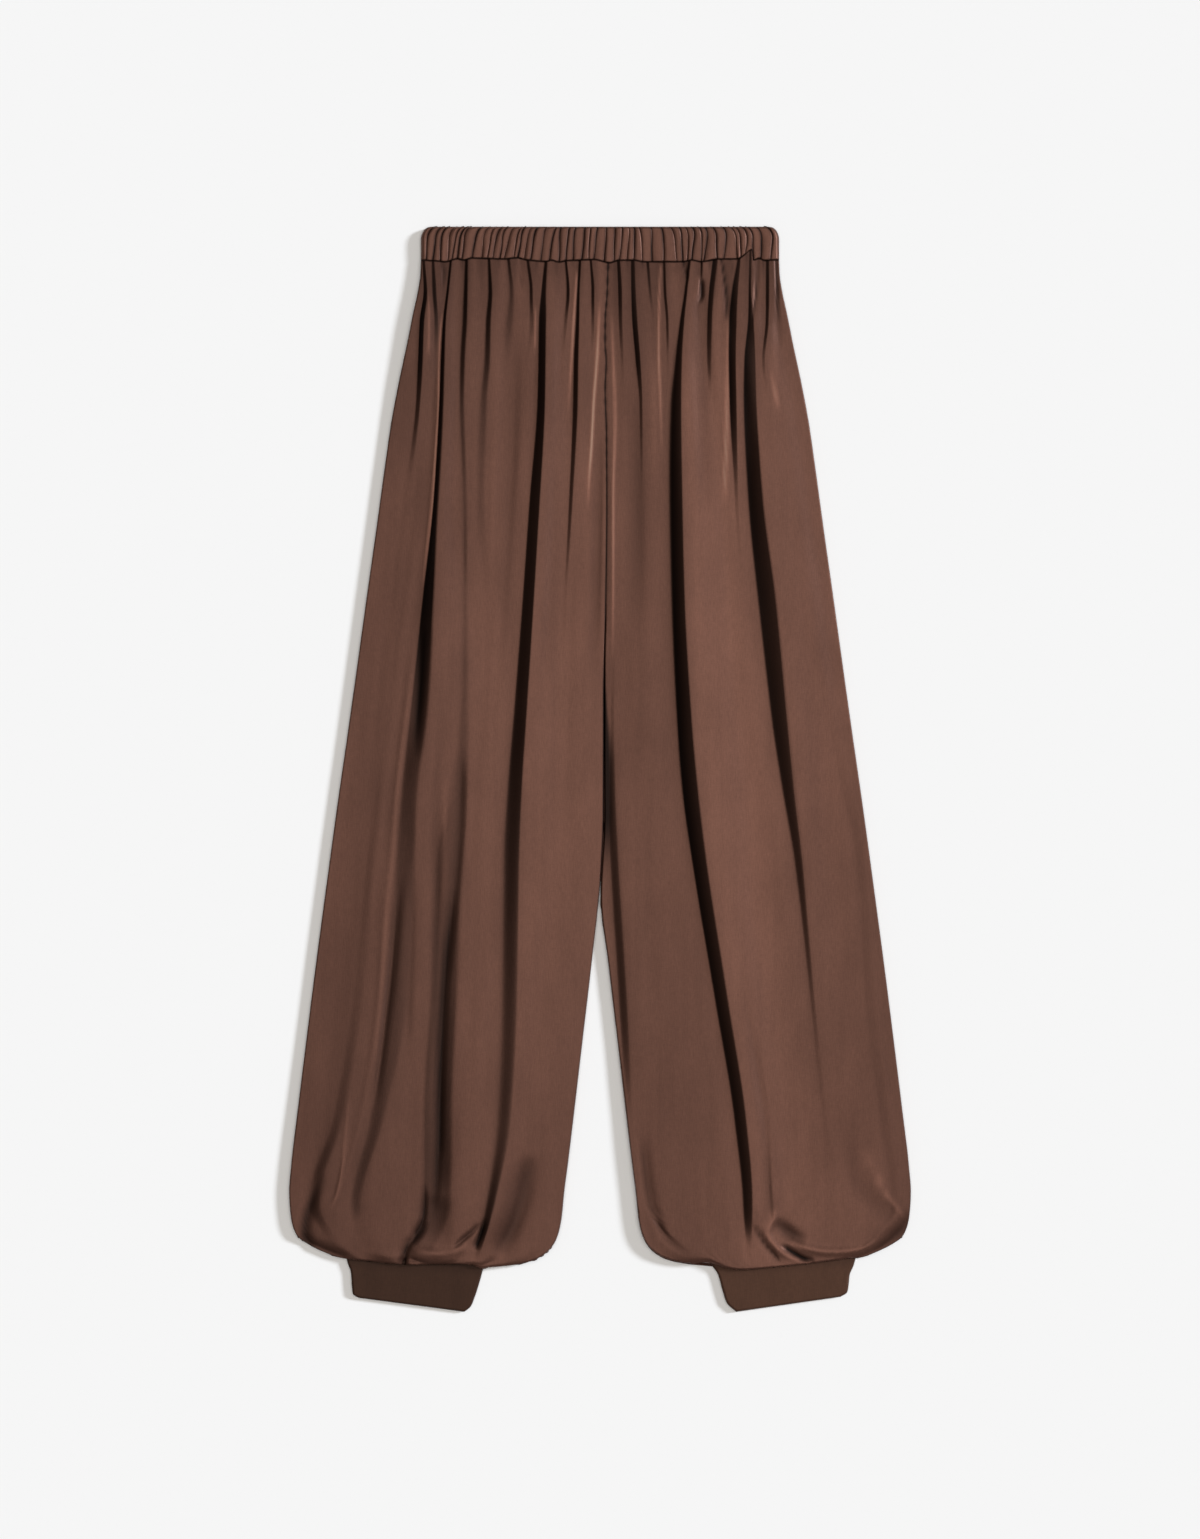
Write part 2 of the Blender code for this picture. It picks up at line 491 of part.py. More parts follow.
def waistband_half(name, upward):
    """One face of the flattened casing, in puffs between its gathering grooves."""
    grooves = band_grooves()
    puff_shares = (0.0, 0.3, 0.7) if upward else (0.0, 0.5)
    rows = np.array(BAND_ROWS)
    slant = rows[:, None] / BAND_DEPTH
    across = []
    puff = []
    for before, after in zip(grooves[:-1], grooves[1:]):
        start = before[0] + slant * (before[1] - before[0])
        end = after[0] + slant * (after[1] - after[0])
        for share in puff_shares:
            across.append(start + share * (end - start))
            puff.append(np.full_like(start, np.sin(np.pi * share) ** BAND_FULLNESS))
    across.append(np.full((len(rows), 1), BAND_HALF_WIDTH))
    puff.append(np.zeros((len(rows), 1)))
    across = np.hstack(across)
    puff = np.hstack(puff)
    corner = BAND_CORNER * (1.0 - quarter_round(rows, BAND_CORNER))
    across = across * (1.0 - corner / BAND_HALF_WIDTH)[:, None]
    down = np.tile(rows[:, None], (1, across.shape[1]))
    end_distance = np.abs(across).max(axis=1)[:, None] - np.abs(across)
    upper = BAND_TOP_SHARE + (1.0 - BAND_TOP_SHARE) * quarter_round(down, BAND_ROWS[1])
    rounded = quarter_round(end_distance, BAND_END_RADIUS) * upper
    if upward:
        top = BAND_FRONT_HEIGHT - BAND_PUFF + BAND_PUFF * puff
        height = BAND_EDGE + (top - BAND_EDGE) * rounded
    else:
        height = BAND_BACK_PUFF * (1.0 - puff) * rounded
        height[np.abs(height) < FLAT_HEIGHT] = 0.0
    return wall(name, across, down, height, CASING, SATIN_BROWN, upward)


def cuff_half(name, side, upward):
    """One face of a flattened ankle band."""
    stations = np.array(RIGHT_CUFF if side > 0 else LEFT_CUFF)
    shares = np.linspace(0.0, 1.0, CUFF_COLUMNS + 1)
    shares = shares - CUFF_SPREAD * np.sin(2 * np.pi * shares) / (2 * np.pi)
    outer = stations[:, 0:2]
    inner = stations[:, 2:4]
    out = outer[:, :1] + shares * (inner[:, :1] - outer[:, :1])
    down = outer[:, 1:] + shares * (inner[:, 1:] - outer[:, 1:])
    outline = np.vstack([outer, inner[::-1]])
    height = np.zeros_like(out)
    if upward:
        rounded = quarter_round(distance_to_line(out, down, outline), CUFF_EDGE_RADIUS)
        height = CUFF_FRONT_EDGE + (CUFF_FRONT_HEIGHT - CUFF_FRONT_EDGE) * rounded
    return wall(name, side * out, down, height, CUFF_WALL, CUFF_BROWN, upward)


def satin(name, colour):
    material = bpy.data.materials.new(name)
    material.use_nodes = True
    shader = material.node_tree.nodes["Principled BSDF"]
    shader.inputs["Base Color"].default_value = colour
    shader.inputs["Roughness"].default_value = SATIN_ROUGHNESS
    shader.inputs["Sheen Weight"].default_value = SATIN_SHEEN
    return material


def wall(name, across, down, height, thickness, colour, upward):
    """A cloth wall of even thickness, grown inwards from a grid of points on its outer face."""
    rows, columns = across.shape
    points = np.stack([across * MM, (TOTAL_LENGTH / 2 - down) * MM, height * MM], axis=-1)
    faces = []
    for row in range(rows - 1):
        for column in range(columns - 1):
            corner = row * columns + column
            faces.append((corner, corner + columns, corner + columns + 1, corner + 1))
    mesh = bpy.data.meshes.new(name)
    mesh.from_pydata(points.reshape(-1, 3).tolist(), [], faces)
    mesh.update()
    if (sum(face.normal.z * face.area for face in mesh.polygons) > 0) != upward:
        mesh.flip_normals()
    mesh.shade_smooth()
    piece = bpy.data.objects.new(name, mesh)
    piece.data.materials.append(satin(name + "_cloth", colour))
    thicken = piece.modifiers.new("cloth thickness", "SOLIDIFY")
    thicken.thickness = thickness * MM
    thicken.offset = -1.0
    garment.objects.link(piece)
    return piece


for old in list(bpy.data.objects):
    bpy.data.objects.remove(old)
garment = bpy.data.collections.new("gathered_balloon_trousers")
bpy.context.scene.collection.children.link(garment)

waistband_half("waistband_front", upward=True)
waistband_half("waistband_back", upward=False)
front_panel("front_left", -1, LEFT_FOLDS)
front_panel("front_right", 1, RIGHT_FOLDS)
back_panel("back_left", -1)
back_panel("back_right", 1)
for leg, side in (("left", -1), ("right", 1)):
    cuff_half("cuff_" + leg + "_front", side, upward=True)
    cuff_half("cuff_" + leg + "_back", side, upward=False)
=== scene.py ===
"""Looks of the gathered satin trousers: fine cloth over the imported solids, satin finish, studio light.

Lengths in tables and constants are millimetres. "out" is the distance from the centre line towards
a side seam, "down" the distance below the waistband's top edge, and heights are above the floor.
Left and right are as seen from above, with the waist away from the viewer.
"""

import math

import bpy
import numpy as np
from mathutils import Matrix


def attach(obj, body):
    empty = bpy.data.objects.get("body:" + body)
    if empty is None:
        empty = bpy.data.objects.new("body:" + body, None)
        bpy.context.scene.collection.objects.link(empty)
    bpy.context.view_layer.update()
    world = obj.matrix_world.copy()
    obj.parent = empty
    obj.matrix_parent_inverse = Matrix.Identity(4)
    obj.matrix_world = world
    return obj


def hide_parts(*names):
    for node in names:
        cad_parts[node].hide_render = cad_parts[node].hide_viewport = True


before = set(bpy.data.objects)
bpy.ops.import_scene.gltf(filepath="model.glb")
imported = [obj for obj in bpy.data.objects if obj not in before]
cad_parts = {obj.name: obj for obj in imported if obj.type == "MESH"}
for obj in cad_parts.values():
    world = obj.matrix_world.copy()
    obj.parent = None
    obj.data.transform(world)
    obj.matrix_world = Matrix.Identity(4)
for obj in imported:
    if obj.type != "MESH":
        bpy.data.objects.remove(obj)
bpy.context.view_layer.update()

MM = 0.001
PHOTO_HEIGHT = 1539         # pixels
PIXEL = 0.97                # size of a pixel of the photograph on the garment
TOTAL_LENGTH = 1051.5
BAND_DEPTH = 33.0
BAND_HALF_WIDTH = 173.6

# The leg's edges, a row for each station: out and down of the side seam, then of the inner edge.
LEG_STATIONS = (
    (173.6, 33, 0, 33),
    (174.2, 46, 0, 46),
    (176.5, 62, 0, 62),
    (181.5, 85, 0, 85),
    (187.5, 115, 0, 115),
    (195, 150, 0, 150),
    (202.5, 190, 0, 190),
    (209, 235, 0, 235),
    (216.5, 290, 0, 290),
    (225, 350, 0, 350),
    (234, 415, 0, 415),
    (243.8, 485, 0, 485),
    (254.6, 560, 0.2, 560),
    (265.5, 640, 0.5, 640),
    (275.5, 715, 8.2, 715),
    (285, 790, 17, 790),
    (293, 855, 24.6, 855),
    (299, 905, 30.6, 905),
    (301.3, 935, 34.5, 935),
    (299.6, 960, 37.3, 962),
    (294, 977, 41.5, 979),
    (281, 987, 50, 992),
    (265, 994.5, 66, 1001.5),
    (256, 998, 86, 1005.5),
    (249, 999.5, 108, 1007.5),
)
# The centre seam wanders to the right of the middle: down, then shift.
CENTRE_LINE = (
    (33, 7.8),
    (66, 6.8),
    (90, 5),
    (114, 4.8),
    (130, 6),
    (158, 4.9),
    (200, 6.2),
    (270, 6.6),
    (360, 5.6),
    (440, 4),
    (575, 4),
    (620, 1.5),
    (665, -0.6),
    (715, 0),
)
CROTCH = 362.0              # down to the fork of the legs
LEGS_PART = 420.0           # down to where the legs' inner edges are fully rounded

# Long folds of the front panels, with their values at these levels down. The last value given holds
# for the levels that are left. "out" is the fold's outer edge and "width" its breadth towards the
# centre. In between, the cloth climbs by "depth" from a foot on the left to a crest on the right.
# "dark" says how little light is left there, and "foot" and "crest" how softly it fades at both
# edges. A fold that stops above the hem has the place where it "ends".
LEVELS = (34, 62, 92, 130, 170, 265, 362, 478, 545, 614, 750, 866, 944, 1005)
LEFT_FOLDS = dict(
    side=dict(
        out=(172, 170.7, 174.5, 176, 178, 190, 200, 212, 218, 226, 240, 260, 283, 243),
        width=(2.6, 3.6, 4.5, 4.5, 4, 6, 8, 9, 9, 10, 11, 12, 12, 5),
        depth=(2.5, 3.5, 4.5, 4, 2, 0, 0, 0, 0.3, 0.6, 1, 1.6, 2, 0.5),
        dark=(0.6, 0.9, 1, 0.95, 0.42, 0, 0, 0, 0, 0.02, 0.07, 0.13, 0.26, 0.1),
        foot=(1, 1, 1, 1, 1.5, 4, 5, 5, 6, 8, 11, 12, 10, 3),
        crest=(1, 1, 1, 1, 2, 4, 5, 5, 6, 8, 10, 10, 8, 3),
        ends=956,
    ),
    side_short=dict(
        out=(163, 162.3, 160.3, 160, 163, 176, 185, 197, 203, 210, 220, 238, 258, 236),
        width=(3, 4.2, 4, 3, 3, 3, 3, 3, 3, 3, 3, 3, 3, 2),
        depth=(2.5, 3, 2, 0.2, 0),
        dark=(0.7, 0.88, 0.75, 0.12, 0),
        foot=2.2, crest=1.4,
    ),
    outer_long=dict(
        out=(145.5, 148.4, 152, 154.2, 155.5, 161, 171.7, 184.4, 192, 197.2, 207, 223, 240.6, 238),
        width=(2.2, 2.4, 3, 3.6, 3.8, 4.2, 10.5, 16, 15.5, 19, 22, 14, 10, 7),
        depth=(3, 3.5, 4, 4.5, 5, 5, 6.5, 5, 3.6, 3, 2.6, 2, 1.4, 0.2),
        dark=(0.8, 0.9, 0.95, 0.97, 0.97, 1, 1, 0.5, 0.42, 0.4, 0.36, 0.34, 0.36, 0.3),
        foot=(1, 1, 1, 1, 1, 1, 1, 3, 6, 7, 8, 8, 7, 4),
        crest=(1, 1, 1, 1, 1, 1, 1.5, 5, 6, 7, 8, 6, 6, 4),
        ends=948,
    ),
    knee=dict(
        out=(130.5, 131.6, 133, 135.4, 136, 133, 132.5, 135.5, 143, 158, 164.3, 170.3, 170.3, 191),
        width=(2.6, 3.6, 4.6, 5, 5, 5, 5, 9, 15, 27, 26, 27, 26, 22),
        depth=(3, 3.5, 3, 2, 1, 0.6, 0.6, 0.8, 1.8, 3, 4, 4.5, 4.2, 1.2),
        dark=(0.8, 0.88, 0.8, 0.6, 0.45, 0.3, 0.26, 0.32, 0.28, 0.28, 0.34, 0.4, 0.46, 0),
        foot=(1.6, 2.4, 3.4, 4, 4, 5, 5, 6, 8, 7, 4, 2.5, 1.5, 1),
        crest=(1, 1.2, 1.8, 2.8, 3, 5, 5, 6, 6, 6, 4, 4, 8),
    ),
    hip=dict(
        out=(108.6, 108, 110.4, 112, 116, 119, 112, 112, 113, 118, 128, 138, 141, 167),
        width=(2.6, 3.8, 5, 6, 7, 8, 6, 4, 4, 4, 4, 4, 4, 3),
        depth=(3, 3.5, 3, 2, 1.2, 0.5, 0),
        dark=(0.8, 0.88, 0.78, 0.6, 0.42, 0.2, 0.04, 0),
        foot=(1.6, 2.4, 3.4, 4, 5, 6, 4),
        crest=(1, 1.2, 1.6, 2.4, 4, 5, 4),
    ),
    pucker_one=dict(
        out=(90, 88, 91, 93, 95, 98, 99, 104, 108, 113, 116, 122, 131, 151),
        width=(3, 5, 7, 6, 4, 4, 4, 4, 4, 4, 4, 4, 4, 3),
        depth=(3, 2, 1.4, 0.4, 0),
        dark=(0.6, 0.42, 0.44, 0.1, 0),
        foot=(2, 4, 5, 5, 4),
        crest=(2, 4, 5, 5, 4),
    ),
    pucker_two=dict(
        out=(71, 68, 68, 72, 76, 84, 88, 97, 101, 107, 109, 115, 124, 139),
        width=(2.5, 3, 3.5, 3.5, 3.5, 3.5, 3.5, 3.5, 3.5, 3.5, 3.5, 3.5, 3.5, 3),
        depth=(2.5, 3, 1, 0.2, 0),
        dark=(0.6, 0.65, 0.3, 0),
        foot=1.2, crest=1.2,
    ),
    inner_long=dict(
        out=(53.5, 56.7, 59.2, 59.6, 60.4, 68, 74.8, 83.8, 89.4, 93.4, 95, 100, 110, 124),
        width=(2.6, 4.5, 7.2, 7, 7.2, 10, 11, 12.6, 14, 15.5, 15, 14, 9, 4),
        depth=(3, 4, 5, 5.5, 5.5, 6, 6.5, 6.5, 6, 5.5, 4.5, 3.8, 3.4, 3),
        dark=(0.8, 0.9, 0.95, 0.93, 0.92, 0.86, 0.84, 0.82, 0.78, 0.7, 0.5, 0.44, 0.6, 0.8),
        foot=(1, 1.4, 2, 1.6, 1.4, 1.6, 2, 4, 6, 8, 10, 11, 8, 2),
        crest=(1, 1, 1, 1, 1, 1.2, 1.2, 1.4, 1.6, 2, 3, 3.4, 2.4, 1),
        ends=972,
    ),
    pucker_three=dict(
        out=(34, 32.2, 35, 38, 39, 44, 51, 59, 61, 64, 67, 75, 85, 120),
        width=(2.2, 2.8, 3.6, 4, 4, 4, 4, 4, 4, 4, 4, 4, 4, 3),
        depth=(2.6, 3.2, 1.6, 0.5, 0),
        dark=(0.8, 0.8, 0.32, 0.08, 0),
        foot=(1, 1, 2, 3),
        crest=(1, 1, 1.5, 3),
    ),
    fly_side=dict(
        out=(20.4, 22.3, 23.4, 25.4, 26, 30, 35, 39, 40, 42, 47, 56, 68, 116),
        width=(2.2, 2.8, 3.4, 4.4, 4.4, 3.6, 3),
        depth=(3, 3.5, 3.5, 3.5, 3, 1.6, 0.2, 0),
        dark=(0.82, 0.88, 0.9, 0.85, 0.75, 0.4, 0),
        foot=(1.4, 2, 2.2, 2.2, 2),
        crest=(1, 1, 1, 1, 1.2, 2.4, 3),
    ),
    fly_short=dict(
        out=(10, 8.4, 8.4, 9.4, 10.4, 12, 14, 17, 18, 20, 28, 40, 52, 112),
        width=(2.2, 3, 3, 3, 3, 3, 3, 3, 3, 3, 3, 3, 3, 2),
        depth=(2.4, 2.6, 1.2, 0.2, 0),
        dark=(0.7, 0.75, 0.4, 0.04, 0),
        foot=1.0, crest=1.2,
    ),
)
RIGHT_FOLDS = dict(
    side=dict(
        out=(163.6, 163.8, 163.2, 159.6, 165, 182, 200, 228, 243, 257, 267, 281, 290, 243),
        width=(3, 3.2, 3, 3, 3, 4, 6, 8, 9, 9, 10, 10, 8, 3),
        depth=(2.6, 3, 2.6, 1, 0, 0, 0, 0.4, 0.8, 1, 1, 1.2, 0.8, 0),
        dark=(0.8, 0.85, 0.75, 0.3, 0, 0, 0, 0.03, 0.08, 0.13, 0.13, 0.16, 0.1, 0),
        foot=(1, 1, 1, 1, 2, 5, 5, 3, 3, 3, 3, 3, 4, 3),
        crest=(1, 1, 1, 1, 2, 5, 5, 6, 6, 6, 6, 6, 5, 3),
    ),
    outer_long=dict(
        out=(147, 146.4, 148.6, 150.4, 151.4, 157.4, 170, 181, 187.6, 195.8, 208.5, 221, 231, 228),
        width=(2.6, 2.6, 5.5, 11, 12.6, 14, 17, 14.6, 11, 7.6, 5.6, 6, 6, 3),
        depth=(2.4, 2.8, 4.5, 5.5, 6, 6.8, 7, 6.5, 5, 3.4, 1, 0.3, 0),
        dark=(0.7, 0.8, 0.96, 1, 1, 0.97, 0.92, 0.88, 0.8, 0.56, 0.18, 0.06, 0),
        foot=(1, 1, 1, 1.6, 2.4, 3, 3, 3, 3.4, 4.6, 7, 8, 6, 3),
        crest=(1, 1, 1, 1, 1, 1.2, 1.4, 1.8, 2.4, 3.6, 6, 8, 6, 3),
    ),
    outer_hip=dict(
        out=(136, 133.6, 132, 131.4, 132, 134, 141, 150, 156, 164, 182, 200, 206, 208),
        width=(3, 5.8, 7, 6.8, 6.6, 3.4, 3),
        depth=(3, 4, 4.6, 4.6, 4, 0.8, 0),
        dark=(0.8, 0.95, 1, 1, 0.95, 0.16, 0),
        foot=1.0,
        crest=(1, 1, 1, 1, 1.4, 3),
    ),
    pucker_one=dict(
        out=(114, 110.4, 108.4, 107.4, 108, 113, 119, 128, 134, 142, 160, 181, 185, 196),
        width=(5, 4.8, 4.4, 3.6, 3),
        depth=(3.4, 3.6, 2.6, 1.2, 0),
        dark=(0.95, 0.92, 0.8, 0.36, 0),
        foot=1.2, crest=1.2,
    ),
    pinch=dict(
        out=(99.5, 99, 96, 93, 92, 96, 101, 110, 117, 125, 146, 165, 168.4, 176),
        width=(2, 2.5, 3, 3, 3, 3, 3, 3, 3, 4, 5, 6, 5, 3),
        depth=(2.6, 0.8, 0, 0, 0, 0, 0, 0, 0, 0, 0.3, 0.8, 1.5, 1),
        dark=(0.85, 0.2, 0, 0, 0, 0, 0, 0, 0, 0, 0.03, 0.12, 0.42, 0.2),
        foot=(1, 1, 2, 2, 2, 2, 2, 2, 2, 3, 6, 7, 6, 2),
        crest=(1, 1, 2, 2, 2, 2, 2, 2, 2, 3, 5, 5, 4, 2),
        ends=946,
    ),
    inner_long=dict(
        out=(87.8, 84.6, 81.6, 79.2, 78.6, 79.8, 82, 88.6, 94.6, 102.8, 123.7, 141.4, 147.4, 146),
        width=(2.4, 2.6, 4.2, 6.4, 10, 12.4, 12.6, 14, 15, 13.6, 12, 11, 9, 3),
        depth=(2.6, 3.4, 4, 5, 6, 7, 7.4, 7.4, 7.2, 7, 6.5, 6, 4.6, 0.4),
        dark=(0.9, 0.93, 0.95, 0.95, 0.98, 1, 1, 1, 1, 0.97, 0.92, 0.9, 0.86, 0.05),
        foot=(1, 1.4, 2.4, 4, 6, 5, 4, 2, 1.6, 1.8, 2.2, 2.6, 3, 2),
        crest=(1, 1, 1, 1, 1, 1.1, 1.2, 1.4, 1.6, 1.8, 1.8, 1.6, 1.6, 2),
        ends=966,
    ),
    pucker_two=dict(
        out=(63.4, 64.2, 66.4, 67, 66, 64, 65, 69, 74, 81, 98, 117, 123, 140),
        width=(2.4, 2.6, 2.6, 2.6, 3),
        depth=(2.4, 2.6, 1.8, 0.4, 0),
        dark=(0.65, 0.65, 0.45, 0.06, 0),
        foot=1.2, crest=1.2,
    ),
    pucker_three=dict(
        out=(47.8, 50, 53, 53, 54, 50, 51, 54, 57, 62, 76, 95, 102, 130),
        width=3,
        depth=(2.4, 1.6, 0.2, 0),
        dark=(0.8, 0.5, 0.1, 0),
        foot=1.8, crest=1.4,
    ),
    fly_side=dict(
        out=(33.6, 34.6, 36.2, 39, 41, 42, 43, 45, 47, 51, 60, 74, 82, 121),
        width=(3.6, 4.4, 5, 4.4, 3),
        depth=(2.8, 3.4, 3.8, 3.4, 1.4, 0),
        dark=(0.8, 0.9, 0.93, 0.88, 0.05, 0),
        foot=(1, 1, 1.2, 1.4, 2, 3),
        crest=(1, 1, 1, 1, 1.6, 3),
    ),
    inseam=dict(
        out=(19.5, 21.2, 21.6, 23, 24, 20, 17, 14, 15, 18, 26.4, 32, 40, 114),
        width=(3, 3.6, 3.4, 3, 3, 3, 3, 4, 6, 8, 8, 6, 4, 3),
        depth=(2.6, 3, 1.8, 0.4, 0, 0, 0, 0.4, 1.4, 2.2, 2.2, 0.4, 0),
        dark=(0.8, 0.8, 0.4, 0.06, 0, 0, 0, 0.08, 0.35, 0.5, 0.38, 0.06, 0),
        foot=(1, 1, 1.4, 2, 3, 3, 3, 3, 4, 5, 5, 4, 3),
        crest=(1, 1, 1.2, 2, 3, 3, 3, 3, 2, 2, 2.4, 3),
    ),
)
# Every fold sinks by this share of its depth at the foot, and stands up by the rest at the crest.
FOOT_SHARE = 0.15
# The cloth sinks towards a foot, and falls away again beyond a crest, over these lengths: a fixed
# part, and a part for each millimetre of the fold's width.
SINK_LENGTH = (4.0, 1.2)
FALL_LENGTH = (4.0, 3.2)
CREST_LIGHT = (0.1, 0.32)   # share of a fold's darkness that is gone at its crest: left leg, right leg
# Where a fold ends, its darkness fades over this length, and its height over three times as much.
FOLD_END = 18.0
HALO_DARK = 0.2             # share of a fold's darkness that spreads beyond it
HALO_REACH = 4.5            # how far that goes, besides half of the fold's width
WAIST_SHARE = 0.45          # share of a fold's depth that is left right under the waistband
WAIST_REACH = 140.0         # down from the band to where the folds are fully deep

FULL_PAINTED_BRIGHTNESS = 0.8           # painted brightness of the plain satin beside the brightest painted ridges
# Painted light and shade across a leg: share of the width from the side seam, then how bright it is.
LEFT_PAINTED_LIGHT_ACROSS = (
    (0, 0.67), (0.14, 0.655), (0.27, 0.7), (0.34, 0.73), (0.5, 0.79), (0.62, 0.82), (0.78, 0.885),
    (1, 0.82),
)
RIGHT_PAINTED_LIGHT_ACROSS = (
    (0, 0.79), (0.1, 0.86), (0.3, 0.88), (0.42, 1), (0.58, 1), (0.68, 0.76), (0.85, 0.7),
    (1, 0.73),
)

# The same painted light and shade along a leg, from the waistband to the hem: down, then how bright it is.
LEFT_PAINTED_LIGHT_ALONG = (
    (33, 0.8), (75, 0.83), (170, 0.86), (265, 0.97), (460, 0.97), (750, 0.92), (850, 0.84), (1005, 0.86),
)
RIGHT_PAINTED_LIGHT_ALONG = (
    (33, 0.76), (75, 0.78), (150, 0.93), (240, 0.99), (460, 1), (560, 0.94), (660, 0.86), (860, 0.81),
    (1005, 0.82),
)

# What the right leg's painted loss of brightness along its length is multiplied by at the side seam, and how
# much less that is at the inner edge. It holds from this place down, and grows over this length.
RIGHT_PAINTED_LOSS = (1.3, 1.1)
RIGHT_PAINTED_LOSS_FROM = (240.0, 200.0)
